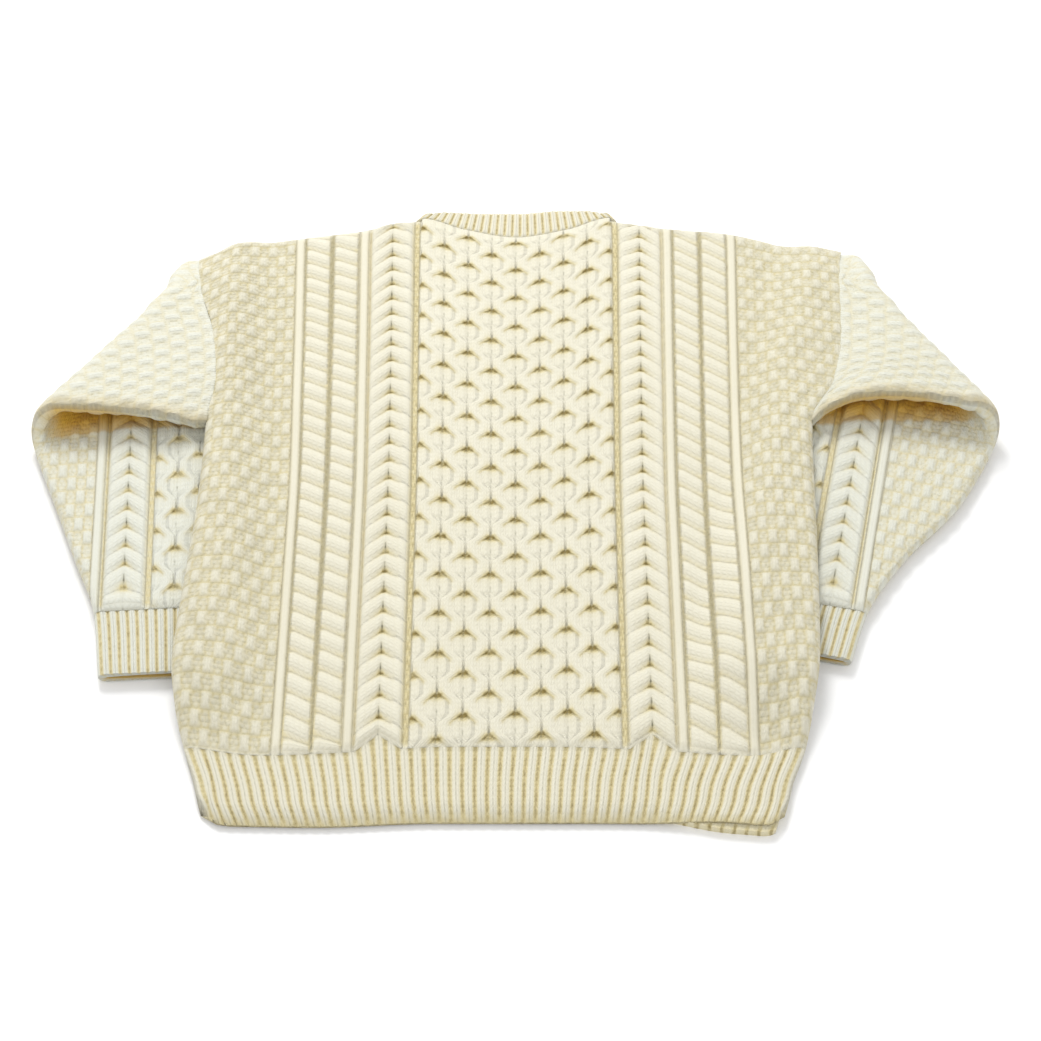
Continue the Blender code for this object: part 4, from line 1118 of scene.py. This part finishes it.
def make_sleeve(name, cut, material):
    shell = Shell(name)
    sleeve = Sleeve(cut)
    rows = rows_of(SLEEVE_TURNS)
    lining_rows = np.linspace(SLEEVE_TURNS, 0.0, LINING_ROWS)
    inner_rows = np.concatenate([np.full(MOUTH_ROWS, SLEEVE_TURNS), lining_rows])

    def ring(make, shift):
        """The two halves as one closed ring of columns, and the column where the second starts."""
        halves = []
        for half in ("back", "front"):
            s, t, depth, marks = make(half)
            points = sleeve.place(s, t, depth, shift + 0.0 * s)
            marks = {name: marks.get(name, PLAIN[name]) + 0.0 * t for name in PLAIN}
            if half == "front":
                marks["fold"] = fold_shade(sleeve, points)
                points = points[:, ::-1]
                marks = {name: values[:, ::-1] for name, values in marks.items()}
            halves.append((points[:, :-1], {name: values[:, :-1] for name, values in marks.items()}))
        points = np.concatenate([half[0] for half in halves], axis=1)
        marks = {name: np.concatenate([half[1][name] for half in halves], axis=1) for name in PLAIN}
        index = shell.add(points, marks)
        return np.concatenate([index, index[:, :1]], axis=1), halves[0][0].shape[1]

    rings = [ring(lambda half: sleeve_half(sleeve, half, rows), crease_shift(rows)),
             ring(lambda half: cuff_half(sleeve, half), 0.0),
             ring(lambda half: inside_half(sleeve, half), crease_shift(inner_rows))]
    for index, _ in rings:
        shell.grid(index)
    for (index, split), (below, below_split) in zip(rings, rings[1:] + rings[:1]):
        shell.lace(index[-1][:split + 1], below[0][:below_split + 1])
        shell.lace(index[-1][split:], below[0][below_split:])
    return shell.finish(material)


# ---------------------------------------------------------------- neckband
BAND_COLUMNS = 8             # stations in one wale pair of the back
BAND_TURN_STEPS = 10         # steps round each end of the neck
BAND_FRONT_STEPS = 120
BAND_FRONT_PHASE = 0.2       # wale pairs in one step of the front
BAND_MIDDLE = 0.35           # height of its wales that counts as the wall's


def neckband_stations():
    """Seam point, free point, normal and wale phase round the neck."""
    back_z = WALL + GAP + 0.5 * WALL
    side_z = 0.5 * (back_z + 0.5 * WALL)
    pairs = int((NECK_RIGHT - NECK_LEFT) / NECK_PITCH)
    seam, free, normal, phase = [], [], [], []

    def station(seam_at, free_at, n, k):
        seam.append(seam_at)
        free.append(free_at)
        normal.append(n)
        phase.append(k)

    def free_x(x):
        return NECK_FREE[0] + (NECK_FREE[1] - NECK_FREE[0]) * (x - NECK_LEFT) / (NECK_RIGHT - NECK_LEFT)

    def round_end(corner, side, steps):
        corner_y = float(top_y(corner))
        for k in steps:
            turn = math.pi * k / BAND_TURN_STEPS
            z = side_z + (back_z - side_z) * math.cos(turn)
            bulge = side * BAND_BULGE * math.sin(turn)
            station((corner + bulge, corner_y + SEAM, z),
                    (free_x(corner) + bulge, corner_y + BAND_WIDTH_ENDS, z),
                    (side * math.sin(turn), 0.0, math.cos(turn)), 0.5)

    for k in range(pairs * BAND_COLUMNS + 1):
        x = NECK_LEFT + (NECK_RIGHT - NECK_LEFT) * k / (pairs * BAND_COLUMNS)
        free_y = float(curve(NECK_BAND["x"], NECK_BAND["free_y"], x))
        station((x, float(top_y(x)) + SEAM, back_z), (free_x(x), free_y, back_z - BAND_DIP),
                (0, 0, 1), k / BAND_COLUMNS)
    round_end(NECK_RIGHT, 1, range(1, BAND_TURN_STEPS))
    for k in range(BAND_FRONT_STEPS + 1):
        x = NECK_RIGHT + (NECK_LEFT - NECK_RIGHT) * k / BAND_FRONT_STEPS
        off = abs(2.0 * (x - NECK_LEFT) / (NECK_RIGHT - NECK_LEFT) - 1.0)
        width = BAND_WIDTH_FRONT + (BAND_WIDTH_ENDS - BAND_WIDTH_FRONT) * off**2
        y = float(front_top_y(np.array(x)))
        station((x, y + SEAM, 0.5 * WALL), (free_x(x), y + width, 0.5 * WALL),
                (0, 0, -1), k * BAND_FRONT_PHASE)
    round_end(NECK_LEFT, -1, reversed(range(1, BAND_TURN_STEPS)))
    return [np.array(a, float) for a in (seam, free, normal, phase)]


# Round the band's section: share of its width, share of half its thickness, and how much of its ribs.
BAND_SECTION = {
    "along": (0.0, 0.0, 0.04, 0.1, 0.25, 0.4, 0.55, 0.7, 0.82, 0.92, 0.98, 1.0, 1.0, 0.9, 0.6, 0.3),
    "off":   (-1, 0.6, 0.95, 1, 1, 1, 1, 1, 1, 0.9, 0.65, 0.25, -0.25, -1, -1, -1),
    "ribs":  (0, 0, 0.5, 1, 1, 1, 1, 1, 1, 1, 0.6, 0.2, 0, 0, 0, 0),
}


def make_neckband(material):
    shell = Shell("neckband_rib")
    seam, free, normal, phase = neckband_stations()
    wave, marks = furrows(phase[:, None])
    along, off, ribs = (np.array(BAND_SECTION[name])[None, :] for name in ("along", "off", "ribs"))
    place = seam[:, None, :] + (free - seam)[:, None, :] * along[..., None]
    up = limit(normal[:, 2:3])
    half = 0.5 * NECK_WALL * off + NECK_RELIEF * (wave ** WALE_ROUND - BAND_MIDDLE) * ribs * up
    points = place + half[..., None] * normal[:, None, :]
    marks["hollow"] = marks["hollow"] * ribs
    marks["course"] = along * np.linalg.norm(free - seam, axis=1)[:, None] / COURSE
    index = shell.add(points, marks)
    index = np.concatenate([index, index[:, :1]], axis=1)
    index = np.concatenate([index, index[:1]], axis=0)
    shell.grid(index)
    return shell.finish(material)


# ---------------------------------------------------------------- materials
class Nodes:
    """Short calls to put nodes in a tree and join them."""

    def __init__(self, tree):
        self.tree = tree

    def add(self, kind, **values):
        node = self.tree.nodes.new(kind)
        for name, value in values.items():
            setattr(node, name, value)
        return node

    def feed(self, socket, value):
        if isinstance(value, bpy.types.NodeSocket):
            self.tree.links.new(value, socket)
        else:
            socket.default_value = value

    def math(self, operation, *values, clamp=False):
        node = self.add("ShaderNodeMath", operation=operation, use_clamp=clamp)
        for socket, value in zip(node.inputs, values):
            self.feed(socket, value)
        return node.outputs[0]

    def times(self, one, other, clamp=False):
        return self.math("MULTIPLY", one, other, clamp=clamp)

    def plus(self, one, other, clamp=False):
        return self.math("ADD", one, other, clamp=clamp)

    def minus(self, one, other, clamp=False):
        return self.math("SUBTRACT", one, other, clamp=clamp)

    def wave(self, value):
        """Half a sine wave over each whole number."""
        return self.math("SINE", self.times(self.math("FRACT", value), math.pi))

    def join(self, kind, sockets, result, values):
        node = self.add("ShaderNodeMix", data_type=kind)
        for socket, value in zip(sockets, values):
            self.feed(node.inputs[socket], value)
        return node.outputs[result]

    def mix(self, *values):
        """One colour, another where the factor is 1."""
        return self.join("RGBA", (0, 6, 7), 2, values)

    def blend(self, *values):
        """The same of numbers."""
        return self.join("FLOAT", (0, 2, 3), 0, values)

    def noise(self, place, name):
        node = self.add("ShaderNodeTexNoise")
        self.feed(node.inputs["Vector"], place)
        node.inputs["Scale"].default_value, node.inputs["Detail"].default_value = NOISES[name]
        return node.outputs["Fac"]

    def read(self, name):
        return self.add("ShaderNodeAttribute", attribute_name=name).outputs["Fac"]


# Scale and detail of the wool's noises.
NOISES = {
    "broad": (14.0, 2.0),
    "patch": (70.0, 2.0),
    "tuft": (260.0, 2.0),
    "speck": (430.0, 2.0),
    "fibre": (1100.0, 3.0),
}
STITCH = {
    "slant": 1.1,                # how far a leg of a knit stitch slants, in courses
    "leg_round": 0.6,
    "side_round": 0.7,
    "purl_round": 0.9,
}
WOOL = {
    "paleness": (0.6, 0.4),      # shares of the broad patches and of the tufts
    "line_tuft": 2.2,            # how far tufts break up the dark lines
    "line_tint": 0.8,
    "gap": (0.05, 0.15),         # painted shade in the gaps between stitches, knit and purl
    "speckle": (1.1, 0.45),      # how far tufts break up the painted shade of hollows, and its least
    "speck": (0.54, 8.0),        # noise above which a speck is dark, and how sharp its edge is
    "speck_tint": (0.05, 0.3),   # strength of the specks, knit and purl
    "patch": (2.4, -0.2),        # how uneven shaded blocks are
    "stitch_bump": (0.38, 0.75),     # height of stitches, knit and purl
    "fibre_bump": 0.3,
    "line_bump": 0.5,
    "bump_depth": 0.0012,
    "bump": 0.7,
    "roughness": 0.95,
    "sheen": 0.2,
    "sheen_roughness": 0.5,
}
CREAM = (0.69, 0.655, 0.515, 1.0)
PALE = (0.755, 0.73, 0.615, 1.0)
SLEEVE_CREAM = (0.655, 0.655, 0.56, 1.0)      # the sleeves get a little whiter, less yellow base colour than the body
SLEEVE_PALE = (0.72, 0.73, 0.66, 1.0)
OLIVE = (0.64, 0.56, 0.32, 1.0)               # painted shade half way down a hollow
DEEP = (0.25, 0.185, 0.05, 1.0)               # and painted shade at its bottom
DARK = (0.21, 0.20, 0.13, 1.0)                # painted shade of the dark lines in narrow gaps
DIM = (0.30, 0.29, 0.22, 1.0)                 # of shaded blocks
SPECK = (0.34, 0.32, 0.18, 1.0)
OCHRE = (0.66, 0.40, 0.045, 1.0)              # warm painted shade deep in a fold
AMBER = (0.56, 0.43, 0.18, 1.0)               # and warm painted shade at its edge


def stitch_group():
    """Height of single stitches from the wale and course they lie in."""
    group = bpy.data.node_groups.new("single_stitches", "ShaderNodeTree")
    for name in ("Wale", "Course", "Purl"):
        group.interface.new_socket(name, in_out="INPUT", socket_type="NodeSocketFloat")
    for name in ("Height", "Gap"):
        group.interface.new_socket(name, in_out="OUTPUT", socket_type="NodeSocketFloat")
    n = Nodes(group)
    given = n.add("NodeGroupInput")
    wale, course, purl = (given.outputs[name] for name in ("Wale", "Course", "Purl"))
    from_middle = n.math("ABSOLUTE", n.minus(n.math("FRACT", wale), 0.5))
    leg_round = n.wave(n.minus(course, n.times(from_middle, STITCH["slant"])))
    side_round = n.math("ABSOLUTE", n.math("SINE", n.times(from_middle, 2.0 * math.pi)))
    knit_height = n.times(n.math("POWER", leg_round, STITCH["leg_round"]),
                          n.math("POWER", side_round, STITCH["side_round"]))
    odd = n.times(n.math("MODULO", n.math("FLOOR", course), 2.0), 0.5)
    bump_x, bump_y = n.wave(n.plus(wale, odd)), n.wave(course)
    purl_height = n.times(n.math("POWER", bump_x, STITCH["purl_round"]), bump_y)
    height = n.blend(purl, knit_height, purl_height)
    out = n.add("NodeGroupOutput")
    n.feed(out.inputs["Height"], height)
    n.feed(out.inputs["Gap"], n.minus(1.0, height, clamp=True))
    return group


def wool_material(name, stitches, cream, pale):
    """Matt wool: pale on the strands, with painted shade olive in the furrows and ochre where it is folded
    under.
    """
    material = bpy.data.materials.new(name)
    material.use_nodes = True
    n = Nodes(material.node_tree)
    shader = material.node_tree.nodes["Principled BSDF"]
    group = n.add("ShaderNodeGroup", node_tree=stitches)
    for mark in ("wale", "course", "purl"):
        n.feed(group.inputs[mark.capitalize()], n.read(mark))
    place = n.add("ShaderNodeTexCoord").outputs["Object"]
    broad, tuft, fibre = (n.noise(place, kind) for kind in ("broad", "tuft", "fibre"))
    of_broad, of_tuft = WOOL["paleness"]
    base = n.mix(n.plus(n.times(broad, of_broad), n.times(tuft, of_tuft)), cream, pale)

    # Painted dark lines of shade along the narrow gaps, broken up by tufts.
    line = n.minus(1.0, n.math("DIVIDE", n.read("line"), LINE_WIDTH), clamp=True)
    dots = n.wave(n.read("course"))
    dots = n.plus(1.0, n.times(n.minus(dots, 1.0), n.read("purl")))
    line = n.times(n.times(line, dots), n.read("dash"))
    line = n.times(line, n.times(tuft, WOOL["line_tuft"]), clamp=True)
    # Painted shade in hollows and stitch gaps: olive half way down, deep brown at the bottom.
    gap = n.times(group.outputs["Gap"], n.blend(n.read("purl"), *WOOL["gap"]))
    share, least = WOOL["speckle"]
    speckle = n.plus(n.times(tuft, share), least)
    hollow = n.plus(n.times(n.read("hollow"), speckle), gap, clamp=True)
    first = n.times(hollow, 2.0, clamp=True)
    second = n.minus(n.times(hollow, 2.0), 1.0, clamp=True)
    tint = n.mix(second, n.mix(first, base, OLIVE), DEEP)
    level, sharp = WOOL["speck"]
    speck = n.times(n.minus(n.noise(place, "speck"), level), sharp, clamp=True)
    tint = n.mix(n.times(speck, n.blend(n.read("purl"), *WOOL["speck_tint"])), tint, SPECK)
    tint = n.mix(n.times(line, WOOL["line_tint"]), tint, DARK)
    share, least = WOOL["patch"]
    patchy = n.plus(n.times(n.noise(place, "patch"), share), least)
    tint = n.mix(n.times(n.read("dim"), patchy, clamp=True), tint, DIM)
    # Painted shade where the knitting is folded under or lies inside: amber at its edge, ochre deep in.
    fold = n.read("fold")
    folded = n.times(fold, n.blend(fold, speckle, 1.0), clamp=True)
    tint = n.mix(folded, tint, n.mix(n.times(fold, fold), AMBER, OCHRE))
    n.feed(shader.inputs["Base Color"], tint)
    shader.inputs["Roughness"].default_value = WOOL["roughness"]
    shader.inputs["Sheen Weight"].default_value = WOOL["sheen"]
    shader.inputs["Sheen Roughness"].default_value = WOOL["sheen_roughness"]

    stitch_height = n.times(group.outputs["Height"], n.blend(n.read("purl"), *WOOL["stitch_bump"]))
    height = n.plus(stitch_height, n.times(fibre, WOOL["fibre_bump"]))
    height = n.minus(height, n.times(line, WOOL["line_bump"]))
    bump = n.add("ShaderNodeBump")
    bump.inputs["Distance"].default_value = WOOL["bump_depth"]
    bump.inputs["Strength"].default_value = WOOL["bump"]
    n.feed(bump.inputs["Height"], height)
    n.feed(shader.inputs["Normal"], bump.outputs["Normal"])
    return material


# ---------------------------------------------------------------- stage, light and camera
FOCAL_PIXELS = 2500.0
FRAME_PIXELS = 1041.0
SENSOR = 36.0
PITCH = 52.0                 # degrees that the camera looks down
CAMERA_AT = (0.0061, -1.3159, 1.655)
FLOOR_SIZE = 12.0
FLOOR_COLOUR = (0.95, 0.95, 0.95, 1.0)
FLOOR_ROUGHNESS = 0.8
# Place, size and power of each light; they all look at the origin.
LIGHTS = {
    "key light": ((-0.4, 1.6, 1.8), 0.9, 38.0),
    "fill light": ((1.4, -1.6, 2.2), 2.4, 12.0),
    "left fill light": ((-1.7, -1.6, 1.5), 2.0, 8.0),
}
WORLD_COLOUR = (1.0, 1.0, 1.0, 1.0)
WORLD_STRENGTH = 0.72


def make_camera():
    data = bpy.data.cameras.new("camera")
    data.sensor_width = SENSOR
    data.lens = SENSOR * FOCAL_PIXELS / FRAME_PIXELS
    camera = bpy.data.objects.new("camera", data)
    camera.location = CAMERA_AT
    camera.rotation_euler = (math.radians(90.0 - PITCH), 0.0, 0.0)
    bpy.context.scene.collection.objects.link(camera)
    bpy.context.scene.camera = camera


def make_floor():
    bpy.ops.mesh.primitive_plane_add(size=FLOOR_SIZE)
    floor = bpy.context.object
    floor.name = "floor"
    material = bpy.data.materials.new("pale floor")
    material.use_nodes = True
    shader = material.node_tree.nodes["Principled BSDF"]
    shader.inputs["Base Color"].default_value = FLOOR_COLOUR
    shader.inputs["Roughness"].default_value = FLOOR_ROUGHNESS
    floor.data.materials.append(material)


def make_light(name, place, size, power):
    data = bpy.data.lights.new(name, "AREA")
    data.size = size
    data.energy = power
    light = bpy.data.objects.new(name, data)
    light.location = place
    towards = -np.array(place, float)
    towards = towards / np.linalg.norm(towards)
    light.rotation_euler = (math.acos(-towards[2]), 0.0, math.atan2(towards[0], -towards[1]) + math.pi)
    bpy.context.scene.collection.objects.link(light)


def make_lights():
    for name, (place, size, power) in LIGHTS.items():
        make_light(name, place, size, power)
    world = bpy.data.worlds.new("studio")
    world.use_nodes = True
    background = world.node_tree.nodes["Background"]
    background.inputs["Color"].default_value = WORLD_COLOUR
    background.inputs["Strength"].default_value = WORLD_STRENGTH
    bpy.context.scene.world = world
    bpy.context.scene.view_settings.view_transform = "Standard"


# ---------------------------------------------------------------- main
def main():
    make_camera()
    make_floor()
    make_lights()
    stitches = stitch_group()
    knit_wool = wool_material("cream wool knit", stitches, CREAM, PALE)
    sleeve_wool = wool_material("cream wool of the sleeves", stitches, SLEEVE_CREAM, SLEEVE_PALE)
    rib_wool = wool_material("cream wool rib", stitches, CREAM, PALE)
    back = make_back(knit_wool)
    front = make_front(knit_wool)
    left = make_sleeve("sleeve_left_knit", SLEEVES["left"], sleeve_wool)
    right = make_sleeve("sleeve_right_knit", SLEEVES["right"], sleeve_wool)
    band = make_neckband(rib_wool)
    for piece, node, slot in ((back, "back", "cream_wool_knit"), (front, "front", "cream_wool_knit"),
                              (left, "sleeve_left", "cream_wool_knit"),
                              (right, "sleeve_right", "cream_wool_knit"),
                              (band, "neckband", "cream_wool_rib")):
        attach(piece, "root")
        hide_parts(node)


main()
